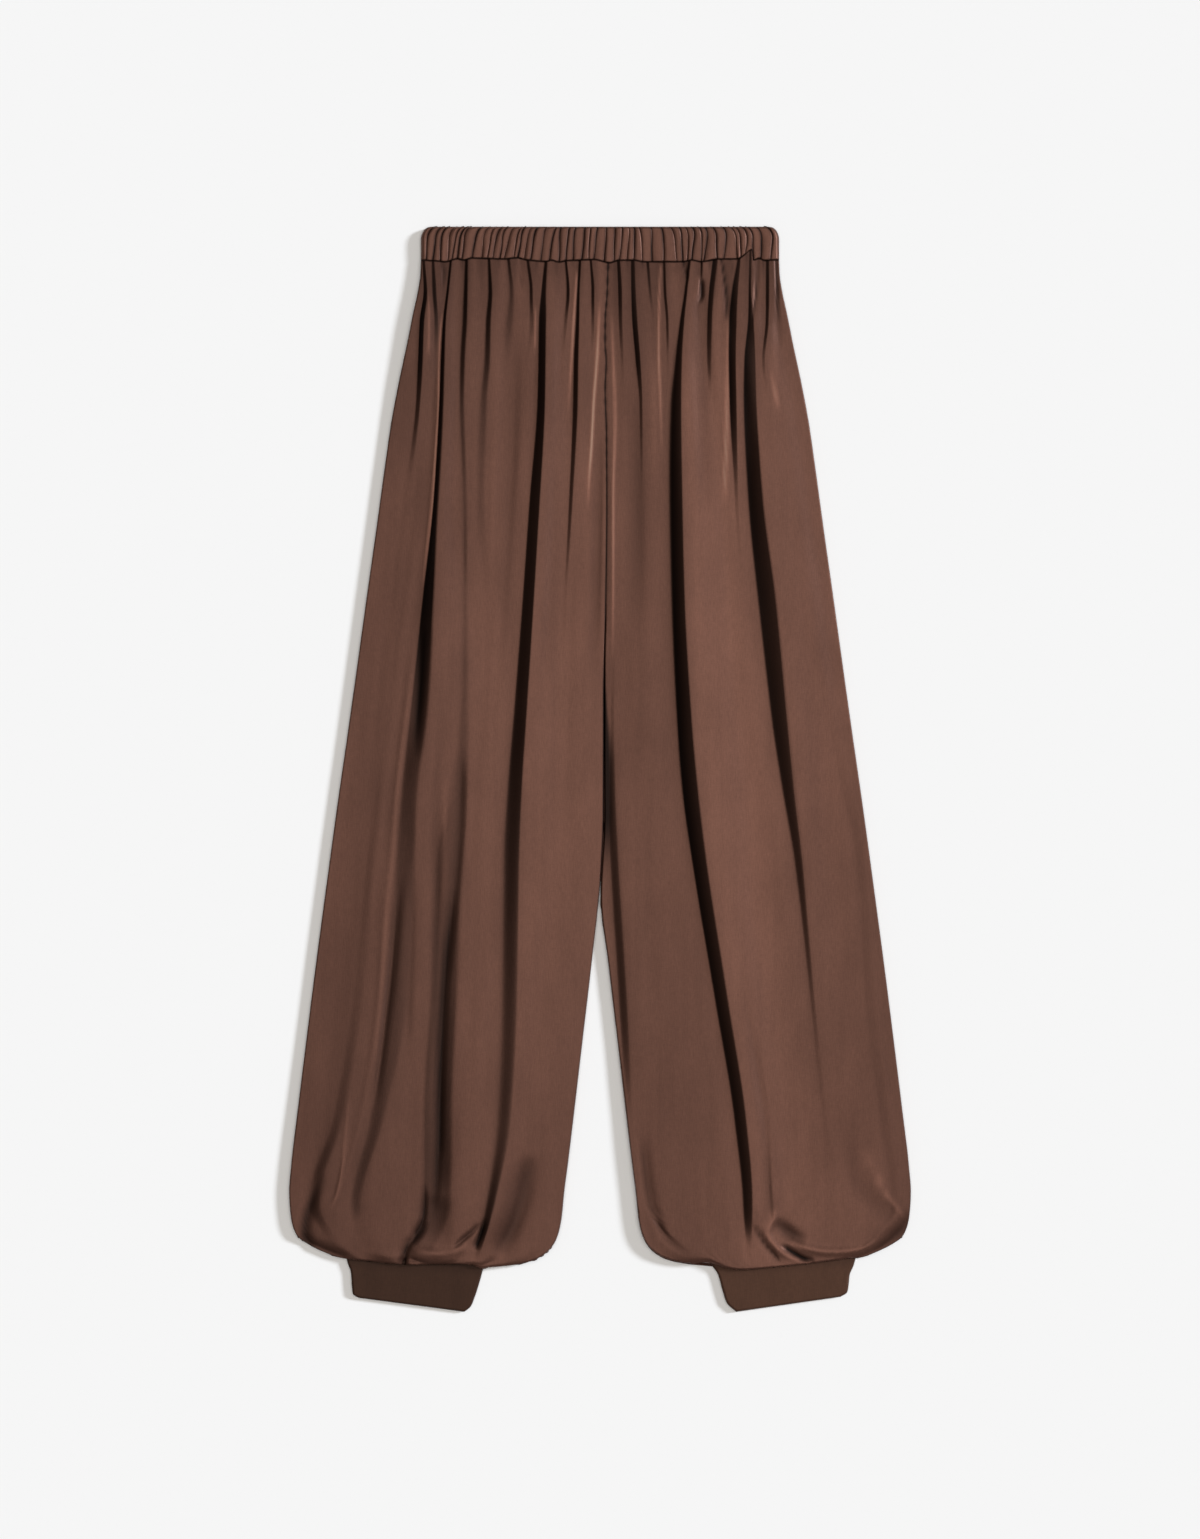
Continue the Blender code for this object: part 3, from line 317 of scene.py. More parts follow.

# Short creases and low ridges between the long folds. Each has its half width and how dark its painted shade
# is,
# then the points of its course: down, out and depth. A ridge has a depth below zero, and one with a painted
# highlight a darkness below zero.
LEFT_CREASES = dict(
    waist_nick=(1.6, 1, (34, 152, 1.3), (48, 151, 1.1), (62, 152, 0)),
    waist_tuck=(1.4, 0.8, (34, 77, 1.2), (48, 76, 1.2), (62, 75, 0)),
    pleat_pocket=(
        5.4, 1, (385, 169.5, 0), (402, 170.8, 1.8), (439, 172.7, 2), (459, 174.1, 2),
        (478, 175.6, 1.8), (500, 177.2, 1), (518, 178.5, 0),
    ),
    pleat_low=(
        2.8, 0.2, (630, 194, 0), (680, 198.6, 1.4), (720, 202, 1.6), (760, 206.6, 1.6),
        (810, 212.6, 1.2), (850, 218, 0),
    ),
    knee_core=(
        3.6, 0.95, (640, 141, 0), (672, 144.5, 1), (703, 148.6, 1.9), (767, 152.8, 2.6),
        (804, 154.2, 2.9), (844, 155, 3), (883, 155.4, 2.2), (904, 157.4, 1.5), (932, 159.3, 1),
        (962, 163, 0),
    ),
    knee_edge=(
        1.8, 0.9, (926, 170, 0), (944, 169.6, 1.6), (958, 170.6, 2.2), (970, 175.4, 2.4), (980, 182, 2),
        (990, 187, 1.6), (1003, 189.4, 1.6),
    ),
    knee_dark=(
        9, 0.4, (640, 146, 0), (700, 148, 1.4), (844, 152, 1.6), (904, 154, 1.6), (940, 157, 0),
    ),
    knee_notch=(
        3, 0.95, (962, 169, 0), (969, 171, 1.6), (975, 174.4, 2.2), (981, 179, 1.6), (986, 183, 0),
    ),
    knee_slit=(
        2.2, 1, (977, 180.6, 0), (986, 185, 1.6), (994, 188.6, 2), (1002, 189.8, 2), (1006, 190, 2),
    ),
    knee_shadow=(
        14, 0.24, (936, 156, 0), (952, 158, 1.8), (968, 160, 1.9), (982, 162, 1.2), (992, 165, 0),
    ),
    knee_streak_one=(
        4.8, 0.62, (450, 151.6, 0), (498, 154.4, 0.4), (536, 157.6, 0.7), (614, 159.4, 0.8),
        (690, 159, 0.9), (760, 160, 0.6), (800, 162, 0),
    ),
    knee_streak_two=(
        5, 0.42, (500, 134.6, 0), (545, 135.4, 1.6), (595, 137.5, 1.8), (633, 140.6, 1.8),
        (672, 144.5, 1.6), (711, 148, 0.8), (730, 150, 0),
    ),
    knee_light=(
        2.4, -0.3, (520, 148, 0), (560, 149.6, -0.4), (610, 151, -0.5), (650, 151.6, -0.4),
        (690, 153, 0),
    ),
    pleat_low_ridge=(
        3.6, -0.3, (415, 180, 0), (440, 183, -0.3), (498, 191, -0.5), (556, 197.2, -0.5),
        (614, 201.6, -0.5), (672, 207, -0.5), (750, 212, -0.4), (830, 220, 0),
    ),
    low_ridge=(
        2.2, -0.4, (840, 242, 0), (866, 245.2, -0.4), (903, 248.4, -0.5), (936, 254.4, -0.5),
        (957, 264, 0),
    ),
    lip_under=(
        2.4, 0.5, (996, 190, 0), (1001, 178, 1.4), (1004, 160, 1.6), (1004, 142, 1.4), (1001, 128, 0),
    ),
    panel_dark=(9, 0.3, (100, 82, 0), (150, 84, 0.9), (250, 87, 1.2), (350, 90, 1), (450, 96, 0)),
    inner_shade=(12, 0.2, (220, 40, 0), (265, 42, 1.2), (362, 45, 1.4), (440, 50, 0)),
    panel_light=(4.5, -0.12, (120, 98.6, 0), (160, 100, -0.4), (250, 103, -0.5), (330, 106, 0)),
    fly_shade=(6, 0.34, (190, -1, 0), (230, 1, 1.2), (300, 3, 1.6), (380, 5, 1.2), (440, 6, 0)),
    calf=(4, 0.15, (610, 180, 0), (680, 182, 1), (760, 186, 1), (820, 189, 0)),
    inner_hollow=(
        9, 0.56, (898, 66, 0), (914, 70.5, 1.8), (938, 75.5, 2.4), (967, 84.5, 2.4), (985, 94, 1.5),
        (997, 100, 0),
    ),
    hem_nick=(
        3, 1, (958, 110, 0), (968, 112.6, 1.8), (976, 115.4, 2.4), (984, 118.4, 2.2), (991, 121, 0),
    ),
    hem_branch=(
        2.4, 0.7, (964, 117, 0), (971, 121.6, 1.4), (978, 130, 1.6), (985, 138, 1), (989, 143, 0),
    ),
    lip_dot=(1.8, 1, (997, 189.6, 0), (1003, 190, 3), (1006, 190, 3)),
    low_edge=(4, 0.55, (974, 286, 0), (983, 281, 1.6), (991, 265, 1.8), (997, 250, 1.2)),
    low_side=(
        5.5, 0.85, (915, 267, 0), (932, 274, 0.9), (946, 279.6, 1.5), (960, 284.4, 1.9), (974, 286, 2),
        (985, 283.4, 1.6), (990, 276, 0),
    ),
    lip_roll=(5, 0, (994, 226, 0), (996, 212, -1), (997, 200, -1), (994, 192, 0)),
    lip_lump=(
        5.5, -0.08, (993, 184, 0), (993, 174, -1.2), (994, 160, -1.6), (993, 146, -1.4), (989, 134, -1),
        (986, 127, 0),
    ),
    fly_ridge=(
        1.7, -2.2, (70, 0.2, 0), (100, 1.6, -0.3), (129, 3, -0.5), (168, 6, -0.5), (211, 8.2, -0.5),
        (247, 10.7, -0.2), (275, 12, 0),
    ),
    pocket_ridge=(
        1.6, -1.7, (40, 22.4, 0), (55, 23, -0.5), (90, 25.4, -0.5), (129, 27.4, -0.4), (185, 31, 0),
    ),
    long_ridge=(1.4, -1.2, (76, 62.6, 0), (88, 62.6, -0.4), (110, 63, -0.4), (122, 63.6, 0)),
    pleat_ridge=(
        1.4, -2.2, (80, 151.8, 0), (100, 154, -0.3), (130, 155.5, -0.5), (170, 156.8, -0.5),
        (215, 159.2, -0.5), (265, 162.3, -0.5), (312, 167.4, -0.3), (350, 172, 0),
    ),
    side_ridge=(1.4, -1.2, (60, 166, 0), (85, 165.5, -0.4), (110, 165.5, -0.4), (130, 167, 0)),
    calf_ridge=(
        5, 0, (614, 207, 0), (750, 214, -0.7), (866, 231, -0.9), (930, 250, -0.7), (960, 260, 0),
    ),
)
RIGHT_CREASES = dict(
    waist_fan=(1.7, 1.2, (34, 153, 1.3), (57, 152, 1.3), (80, 149, 0.8), (95, 147, 0)),
    waist_edge=(1.7, 1.2, (34, 170.5, 1.3), (71, 171.5, 1.3), (102, 173.5, 0.8), (118, 176, 0)),
    waist_tuck=(
        2, 1.4, (34, 118, 1.3), (50, 120.4, 1.3), (70, 122.6, 1.4), (82, 122.4, 1), (92, 121, 0),
    ),
    waist_fork=(1.4, 1, (34, 81, 1.2), (44, 83, 1.2), (54, 85, 0)),
    dimple=(2, 1.2, (50, 99.5, 0), (57, 98.5, 1.5), (66, 98.5, 1.5), (75, 96, 0)),
    dimple_ridge=(2.4, -0.5, (46, 95, 0), (56, 95, -1), (64, 94, -1), (74, 91, 0)),
    shin=(8, 0.1, (740, 143, 0), (790, 150, 1), (833, 156, 1.4), (866, 162, 1), (900, 165, 0)),
    ankle_hollow=(
        6.4, 0.62, (960, 171, 0), (968, 176, 1.8), (974, 183, 2.4), (979, 191, 1.6), (983, 200, 0),
    ),
    lip_pit=(2.6, 1.1, (984, 176, 0), (990, 182, 2), (995, 190, 2.2), (999, 198, 2), (1001, 208, 0)),
    twist=(
        2.2, 0.9, (966, 150, 0), (975, 153.4, 1.4), (985, 159.6, 1.6), (995, 168, 1.6),
        (1001, 172.4, 0.6),
    ),
    inner_hem=(
        2.8, 0.46, (876, 42, 0), (902, 42.4, 1.8), (931, 45.8, 2), (956, 51.8, 1.8), (974, 61.5, 1.5),
        (986, 72, 1), (996, 86, 0),
    ),
    ankle_shade=(
        9, 0.3, (850, 236, 0), (895, 241.5, 1), (931, 252, 1.4), (952, 272, 1.2), (962, 284, 0),
    ),
    corner=(
        6.5, 0.75, (952, 300, 0), (964, 297, 1.2), (974, 289, 1.6), (984, 275, 1.2), (992, 262, 0),
    ),
    seam_ridge=(
        1.8, -1.2, (80, 11, 0), (120, 12.4, -0.4), (190, 14.5, -0.5), (265, 12.6, -0.5),
        (342, 12.6, -0.4), (420, 12, 0),
    ),
    hip_ridge=(
        1.6, -1.6, (33, 59, 0), (42, 58.6, -0.5), (80, 57, -0.5), (120, 56.8, -0.5), (170, 58.6, -0.3),
        (225, 60, 0),
    ),
    hip_shade=(10, 0.32, (36, 100, 0), (70, 98, 1.4), (150, 100, 1.4), (220, 102, 1), (280, 104, 0)),
    panel_dark=(9.5, 0.4, (140, 37, 0), (190, 35, 1), (265, 36, 1.4), (330, 36, 1.2), (420, 34, 0)),
    panel_light=(6, -0.3, (120, 52, 0), (165, 52, -0.5), (210, 52.5, -0.4), (270, 53, 0)),
    fan_ridge=(
        2.6, -0.9, (86, 124, 0), (110, 124, -0.5), (180, 122.9, -0.5), (240, 121, -0.4), (270, 120, 0),
    ),
    pocket_ridge=(
        2.4, -0.8, (104, 167, 0), (128, 167, -0.3), (150, 168.4, -0.5), (164, 169.4, -0.5),
        (182, 171, 0),
    ),
    corner_streak=(
        3.2, -0.5, (892, 256, 0), (910, 264, -0.4), (924, 270.6, -0.5), (938, 278, -0.6),
        (950, 287, -0.6), (963, 297, 0),
    ),
    ankle_ridge=(
        3.6, -0.34, (950, 171, 0), (962, 167, -1.1), (974, 162, -1.4), (985, 168, -1.5),
        (995, 180, -1.2), (1003, 197, 0),
    ),
    lip_ridge=(
        4.2, -0.26, (980, 184, 0), (986, 193, -1.2), (990, 206, -1.6), (992, 222, -1.6),
        (991, 245, -1.4), (985, 266, -1), (975, 281, 0),
    ),
)
CREASE_FULL = 2.0           # depth of a crease that is as dark as it says
RIDGE_FULL = 0.5            # height of a ridge that is as bright as it says
# Heights of the front cloth: at its edges, at the lip over the cuff, the least one inside with how
# softly it is reached, and the height that the folds start from: down, then height.
EDGE_HEIGHT = 2.0
LIP_HEIGHT = 6.2
LEAST_HEIGHT = 2.6
LEAST_SOFT = 0.8
PILLOW = ((33, 7.6), (50, 8.4), (110, 8.8), (362, 9.0), (750, 9.0), (950, 10.2), (1005, 10.2))
EDGE_RADIUS = 1.2           # rounding of the cloth at its edges
# Columns beside a leg's two edges, by their distance from it. They draw together where a fold
# leaves less room than they need.
RIM_COLUMNS = (0.15, 0.45, 0.9, 1.4, 2.0, 4.0)
RIM_ROOM = 0.6              # share of the room up to the next fold that they take at most
# How far the lip over each cuff strays from its straight course: out, then down.
LEFT_LIP = (
    (87, 0.5), (106, 0.6), (114, 1.6), (126, -1.4), (150, 0), (194, 2.2), (223, 1), (250, -0.5),
)
RIGHT_LIP = (
    (87, -1.4), (104, -4), (114, -1.6), (122, 1.8), (141, 4.6), (168, 3.6), (194, 2.4), (250, -1.5),
)
# How far the cloth sinks towards a leg's edges, and over what distance: left leg, right leg
OUTER_FALL = ((3.0, 70.0), (2.4, 30.0))
INNER_FALL = ((1.6, 26.0), (1.8, 34.0))
FALL_FROM = (60.0, 160.0)   # down to where the outer fall starts, and the length over which it grows
# The lip starts to stray and to stand up here, and does so fully after this length.
LIP_STRAY_FROM = (965.0, 38.0)
LIP_RISE_FROM = (975.0, 20.0)
LIP_CORNER = 0.05           # share of the leg's width over which it strays less at the side seam
SEAM_GROOVE = (0.35, 2.0)   # depth and half width of the groove along the centre seam
# How dark the painted shade along the centre seam is, its half width, and how much its puckers add to that.
# They fade from this place down, over this length.
SEAM_DARK = 0.97
SEAM_WIDTH = (1.0, 0.4)
PUCKERS_FROM = (150.0, 160.0)
# Shade in the gap between the legs: how dark it is, where it starts and stops, each with the length
# of its fading, its width on both legs, and what the right one gains further down.
GAP_DARK = 0.96
GAP_START = (400.0, 60.0)
GAP_STOP = (572.0, 70.0)
GAP_WIDTH = (1.4, 1.6)
GAP_GAIN = 5.6
GAP_GAIN_FROM = (440.0, 90.0)
NICK_WIDTH = 1.4            # half width of the small puckers under the waistband
GATHER_DARK = 0.3           # how dark the painted shade of the soft gathers between them is, and how far down it goes
GATHER_LENGTH = 70.0
SEAM_LINE = 0.7             # half width of the painted shade along the waist seam
SEAM_PULL = 14.0            # how far below the waist seam the cloth follows its course
SHEET = 0.5                 # thickness of the satin
BAND_SHEET = 0.8            # thickness of the waistband's and the cuffs' faces
# Painted brightness of the back panels' satin beside the legs'
BACK_PAINTED_BRIGHTNESS = 0.85
BACK_CHANNELS = 8           # low folds of each back panel
BACK_CHANNEL = (1.9, 7.0)   # their height and half width
BACK_LONG = (2, 5)          # those that run the whole length

# Rows of the leg cloths: from, to and how far apart they are
ROW_STEPS = ((33, 60, 1.5), (60, 120, 2.6), (120, 900, 6.2), (900, 960, 2.6), (960, 1005, 1.1))
COLUMNS_PER_GAP = 8

# Gathers of the waistband: a groove's place across at the top and at the seam, then how dark its painted
# shade is.
BAND_GROOVES = (
    (-166.5, -168.6, 0.8), (-158.2, -161.9, 1), (-153.3, -154.8, 0.9), (-145.5, -147.7, 0.4),
    (-138.5, -143.4, 0.6), (-134.1, -138.4, 1), (-130.6, -133.8, 0.7), (-119.2, -123.8, 1),
    (-111.7, -114.9, 0.35), (-105, -109, 0.2), (-98.9, -103.9, 0.7), (-93, -97.3, 0.7),
    (-86.3, -92.7, 0.35), (-78.9, -83.8, 0.4), (-75, -79.6, 1), (-69, -73.5, 0.25),
    (-62.5, -67.5, 0.95), (-54, -57.2, 0.8), (-44, -49.4, 0.9), (-39, -39.8, 0.95),
    (-30.9, -33, 0.85), (-24.5, -26.6, 0.9), (-14.9, -17.7, 1), (-9.9, -11, 0.4),
    (-2.4, -6.3, 0.95), (6, 4, 0.8), (14.6, 13.2, 0.85), (22.4, 18.5, 0.7), (28.5, 26, 0.2),
    (34.1, 32.4, 0.95), (39.1, 41.2, 0.5), (50.5, 50.1, 1), (61.2, 61.5, 0.9), (70.4, 74.3, 0.4),
    (78.9, 79.6, 0.9), (85.5, 84.5, 0.25), (92.1, 88.9, 1), (99.2, 97.8, 0.7), (105.2, 100.5, 1),
    (112.3, 113, 0.9), (123.3, 119.8, 0.95), (130.4, 133, 0.4), (135.4, 136, 0.4),
    (142.5, 141, 0.5), (147.8, 148, 1), (157.1, 155.3, 1), (167.4, 165.3, 0.8),
)
BAND_CORNER = (9.0, 12.5)   # rounding of the band's upper corners: across, then down
BAND_STEPS = 14             # columns from groove to groove
GROOVE_WIDTHS = (1.1, 2.8)  # half widths of a groove's core and of its soft sides
GROOVE_CORE = 0.9           # share of its darkness that is in the core
# Course of the seam under the waistband: across, then down. Near the right end the cloth rides up.
WAIST_SEAM = (
    (-173.6, 32.5), (-159, 33.5), (-150, 34.3), (-138.4, 31.4), (-132, 32.5), (-124, 30.7), (-93, 31.6),
    (-80, 30.4), (-71, 32.5), (-51.5, 33.9), (-47, 32.8), (-40, 34.6), (-33, 33.2), (-15, 32.5),
    (-6, 32.1), (9.4, 35.2), (17.8, 32.8), (32, 32.8), (42.7, 34.3), (79.6, 34.2), (88.9, 32.8),
    (98, 34.2), (113.4, 31.8), (133.3, 31.4), (140, 27.4), (145.4, 22.6), (147.3, 22.6), (148, 32.9),
    (153.9, 30.9), (158.9, 32.9), (173.6, 32.1),
)
# Small puckers under the waistband, drawn only as painted shade: out, length and how dark they are.
LEFT_NICKS = (
    (133.8, 14, 0.5), (116.7, 22, 0.4), (98, 13, 0.3), (82, 28, 0.35), (61.5, 13, 0.4), (43, 22, 0.3),
    (27, 11, 0.4),
)
RIGHT_NICKS = (
    (7.8, 11, 0.5), (26.5, 15, 0.35), (41, 13, 0.45), (73, 18, 0.45), (81, 11, 0.5), (106, 14, 0.4),
    (127.6, 20, 0.5), (142, 12, 0.4), (158, 24, 0.5),
)
TUCK = (143.0, 3.6)         # where the cloth rides up over the band, and half of its width
BAND_PAINTED_BRIGHTNESS = 0.62          # painted shade: how bright the band's satin is painted beside the brightest of the legs
RIDGE_PAINTED_HIGHLIGHT = (0.27, 0.165, 0.12, 1)  # painted highlight: colour of the satin along its sharpest ridges
PAINTED_SHADE_REMAINDER = 0.035              # share of its colour that is left where the painted shade is darkest

# The ankle cuffs, a row for each station: out and down of the outer edge, then of the inner one.
LEFT_CUFF = (
    (247, 990, 109, 999),
    (245, 1003, 113, 1009),
    (241.6, 1013, 116, 1020),
    (240.6, 1026, 121, 1036),
    (239.6, 1034, 125.5, 1046.5),
    (234, 1038, 131.5, 1051.5),
)
RIGHT_CUFF = (
    (250, 990, 104, 999),
    (246, 1006, 108, 1006),
    (242, 1016, 114, 1014.5),
    (241, 1026, 118.6, 1030),
    (239.6, 1032.5, 123, 1043),
    (233, 1037, 132, 1051.5),
)
LEFT_CUFF_SHADE = 0.4       # the left cuff lies in the shadow of the leg
CUFF_EDGE = 2.5             # rounding of a cuff's folded edges
LIP_SHADOW = (0.5, 22.0)    # shade on a cuff right under the lip, and how far down it goes


def monotone_curve(knots, values, at):
    """Smooth curve through the knots that never swings past them."""
    knots = np.asarray(knots, float)
    values = np.asarray(values, float)
    at = np.clip(np.asarray(at, float), knots[0], knots[-1])
    steps = np.diff(knots)
    slopes = np.diff(values) / steps
    tangents = np.zeros_like(values)
    rising = slopes[:-1] * slopes[1:] > 0
    inner = np.zeros(len(values) - 2)
    inner[rising] = 2.0 / (1.0 / slopes[:-1][rising] + 1.0 / slopes[1:][rising])
    tangents[1:-1] = inner
    tangents[0] = slopes[0]
    tangents[-1] = slopes[-1]
    place = np.clip(np.searchsorted(knots, at, side="right") - 1, 0, len(steps) - 1)
    step = steps[place]
    share = (at - knots[place]) / step
    rest = 1.0 - share
    return (
        values[place] * (1 + 2 * share) * rest ** 2
        + tangents[place] * step * share * rest ** 2
        + values[place + 1] * share ** 2 * (3 - 2 * share)
        - tangents[place + 1] * step * share ** 2 * rest
    )


def quarter_round(distance, radius):
    share = np.clip(distance / radius, 0.0, 1.0)
    return np.sqrt(1.0 - (1.0 - share) ** 2)


def ease(share):
    share = np.clip(share, 0.0, 1.0)
    return share * share * (3.0 - 2.0 * share)


def nearest_on_line(out, down, line):
    """Distance of points from a line in plan, and the line's last value where it is nearest."""
    best = np.full(out.shape, 1e9)
    value = np.zeros_like(out)
    for start, end in zip(line[:-1], line[1:]):
        along = end - start
        length = along[0] ** 2 + along[1] ** 2 + 1e-9
        share = np.clip(((out - start[0]) * along[0] + (down - start[1]) * along[1]) / length, 0, 1)
        apart = np.hypot(out - start[0] - share * along[0], down - start[1] - share * along[1])
        value = np.where(apart < best, start[-1] + share * along[-1], value)
        best = np.minimum(best, apart)
    return best, value


def station_curves(stations, places):
    """Every column of a table of stations, as a smooth curve at so many places."""
    stations = np.array(stations, float)
    index = np.arange(len(stations))
    fine = np.linspace(0, len(stations) - 1, places)
    return [monotone_curve(index, column, fine) for column in stations.T]


def table_curve(table, at):
    """Smooth curve through a table's rows, each a place and a value."""
    return monotone_curve(*zip(*table), at)


def leg_edges(side, levels):
    """Both edges of a leg where its middle is at the given levels down."""
    curves = station_curves(LEG_STATIONS, 4001)
    middle = (curves[1] + curves[3]) / 2
    outer_out, outer_down, inner_out, inner_down = [np.interp(levels, middle, c) for c in curves]
    return outer_out, outer_down, inner_out + side * table_curve(CENTRE_LINE, inner_down), inner_down


def row_levels():
    rows = []
    for start, end, step in ROW_STEPS:
        rows += list(np.linspace(start, end, round((end - start) / step), endpoint=False))
    return np.array(rows + [ROW_STEPS[-1][1]])


def fold_rows(fold, key, levels):
    """One of a fold's values, worked out at the given levels."""
    values = np.atleast_1d(np.array(fold[key], float))
    return monotone_curve(LEVELS, np.pad(values, (0, len(LEVELS) - len(values)), mode="edge"), levels)


def fold_edges(side, folds, levels):
    """Shares of the leg's width at which each fold has its outer and its inner edge."""
    outer_out, _, inner_out, _ = leg_edges(side, levels)
    width = outer_out - inner_out
    outer_edges = []
    inner_edges = []
    for fold in folds.values():
        share = (outer_out - fold_rows(fold, "out", levels)) / width
        outer_edges.append(share)
        inner_edges.append(share + fold_rows(fold, "width", levels) / width)
    return np.array(outer_edges).T, np.array(inner_edges).T


def grid_columns(outer_edges, inner_edges, width):
    """Columns along both edges of every fold and of the leg, and more of them in between."""
    rows = len(outer_edges)
    following = np.hstack([outer_edges[:, 1:], np.ones((rows, 1))])
    inner_edges = np.minimum(inner_edges, outer_edges + 0.6 * (following - outer_edges))
    rim = np.array(RIM_COLUMNS) / width[:, None]
    squeeze = np.minimum(1.0, RIM_ROOM * outer_edges[:, :1] / rim[:, -1:])
    parts = [np.zeros(rows)] + list((rim * squeeze).T)
    keys = [parts.pop()]
    squeeze = np.minimum(1.0, RIM_ROOM * (1.0 - inner_edges[:, -1:]) / rim[:, -1:])
    last_rim = 1.0 - (rim * squeeze)[:, ::-1]
    for outer_edge, inner_edge in zip(outer_edges.T, inner_edges.T):
        keys += [outer_edge, inner_edge]
    keys.append(last_rim[:, 0])
    steps = np.arange(COLUMNS_PER_GAP) / COLUMNS_PER_GAP
    spread = 0.4 * steps + 0.6 * (0.5 - 0.5 * np.cos(np.pi * steps))
    for left, right in zip(keys[:-1], keys[1:]):
        parts += [left + share * (right - left) for share in spread]
    parts += list(last_rim.T) + [np.ones(rows)]
    return np.array(parts).T


def fold_profile(across, width, softness):
    """Height share of a fold: it sinks to its foot, climbs to its crest and falls away slowly."""
    sink = -FOOT_SHARE * (1.0 - ease(-across / (SINK_LENGTH[0] + SINK_LENGTH[1] * width)))
    share = np.clip(across / width, 0.0, 1.0)
    climb = share + (ease(share) - share) * np.clip(softness / width, 0.0, 1.0) - FOOT_SHARE
    fall = (1.0 - FOOT_SHARE) * (1.0 - ease((across - width) / (FALL_LENGTH[0] + FALL_LENGTH[1] * width)))
    return np.where(across < 0.0, sink, np.where(across < width, climb, fall))


def fold_relief(side, folds, out, levels):
    """Height that the long folds add, and the light that they leave."""
    outer_out, _, inner_out, _ = leg_edges(side, levels)
    outer_edges, _ = fold_edges(side, folds, levels)
    places = outer_out - outer_edges.T * (outer_out - inner_out)
    relief = np.zeros_like(out)
    light = np.ones_like(out)
    for place, fold in zip(places, folds.values()):
        keys = ("width", "depth", "dark", "foot", "crest")
        width, depth, dark, foot_soft, crest_soft = [fold_rows(fold, key, levels)[:, None] for key in keys]
        across = place[:, None] - out
        if side > 0:
            across = width - across
        entering = ease((across + 0.5 * foot_soft) / foot_soft)
        leaving = 1.0 - ease((across - width + 0.7 * crest_soft) / crest_soft)
        thinning = 1.0 - CREST_LIGHT[side > 0] * ease(across / width)
        if "ends" in fold:
            past = levels[:, None] - fold["ends"]
            dark = dark * (1.0 - ease(past / FOLD_END))
            depth = depth * (1.0 - ease((past + FOLD_END) / (3.0 * FOLD_END)))
        light = light * (1.0 - dark * entering * leaving * thinning)
        relief += depth * fold_profile(across, width, foot_soft)
        halo = np.exp(-((across - 0.3 * width) / (0.5 * width + HALO_REACH)) ** 2)
        light = light * (1.0 - HALO_DARK * dark * halo)
    growth = WAIST_SHARE + (1.0 - WAIST_SHARE) * ease((levels - BAND_DEPTH) / WAIST_REACH)
    return relief * growth[:, None], light


def crease_relief(creases, out, down):
    """Height that the short creases and ridges add, and the light that they leave."""
    relief = np.zeros_like(out)
    light = np.ones_like(out)
    for half_width, dark, *course in creases.values():
        line = np.column_stack(station_curves(course, 6 * (len(course) - 1) + 1))
        reach = 3.0 * half_width
        near = (np.abs(down - line[:, 0].mean()) < np.ptp(line[:, 0]) + reach) & (
            np.abs(out - line[:, 1].mean()) < np.ptp(line[:, 1]) + reach
        )
        apart, depth = nearest_on_line(down[near], out[near], line)
        relief[near] -= depth * np.exp(-(apart / half_width) ** 2)
        full_depth = CREASE_FULL if dark > 0 else RIDGE_FULL
        shade = dark * np.clip(np.abs(depth) / full_depth, 0, 1) * np.exp(-(apart / (0.8 * half_width)) ** 2)
        light[near] *= 1.0 - shade
    return relief, light


def soft_waves(side, columns, levels):
    """Low waves along the threads that no fold accounts for."""
    seed = 3.1 if side > 0 else 0.0
    waves = np.zeros_like(columns)
    down = levels[:, None]
    for number, (count, height) in enumerate(((3.3, 0.5), (6.7, 0.22), (12.4, 0.1), (21.0, 0.05))):
        phase = seed + 1.7 * number + 0.9 * np.sin(down / (230.0 - 20 * number) + number + seed)
        strength = 0.5 + 0.5 * np.sin(down / (130.0 + 35.0 * number) + 2.1 * number + seed)
        drift = 0.4 * np.sin(2 * np.pi * columns * 1.3 + seed + number)
        waves += height * strength * np.sin(2 * np.pi * count * columns + phase + drift)
    return waves


def seam_wave(across):
    """How far the waist seam strays below its line."""
    return table_curve(WAIST_SEAM, across) - BAND_DEPTH


def tuck_share(across):
    """One where the cloth rides up over the waistband, nought elsewhere."""
    return np.exp(-((across - TUCK[0]) / TUCK[1]) ** 4)


def seam_line_light(across, under_seam):
    """Light that the line of the waist seam leaves. It hardly shows on top of the tuck."""
    dark = 0.88 - 0.75 * tuck_share(across)
    return 1.0 - dark * np.exp(-(under_seam / SEAM_LINE) ** 2)


def waist_light(side, out, down):
    """Light that the puckers, the gathers and the seam under the waistband leave."""
    under_seam = down - BAND_DEPTH
    light = np.ones_like(out)
    for place, length, dark in RIGHT_NICKS if side > 0 else LEFT_NICKS:
        fading = 1.0 - ease(under_seam / length)
        light *= 1.0 - dark * fading * np.exp(-((out - place) / NICK_WIDTH) ** 2)
    gathers = 0.5 + 0.5 * np.sin(out / 2.9 + 2.0 * np.sin(out / 17.0) + side)
    light *= 1.0 - GATHER_DARK * gathers * (1.0 - ease(under_seam / GATHER_LENGTH))
    return light * seam_line_light(side * out, under_seam)


def starting(down, start):
    """From nought to one, beginning at a place down and taking a length, both given in start."""
    return ease((down - start[0]) / start[1])


def centre_seam_light(seam_distance, parting, down):
    """Light that the puckered seam between the fronts leaves."""
    pucker = np.sin(down / 1.9 + 1.4 * np.sin(down / 13.0)) * (1.0 - starting(down, PUCKERS_FROM))
    half_width = SEAM_WIDTH[0] + SEAM_WIDTH[1] * pucker
    return 1.0 - SEAM_DARK * (1.0 - parting) * np.exp(-(seam_distance / half_width) ** 2)


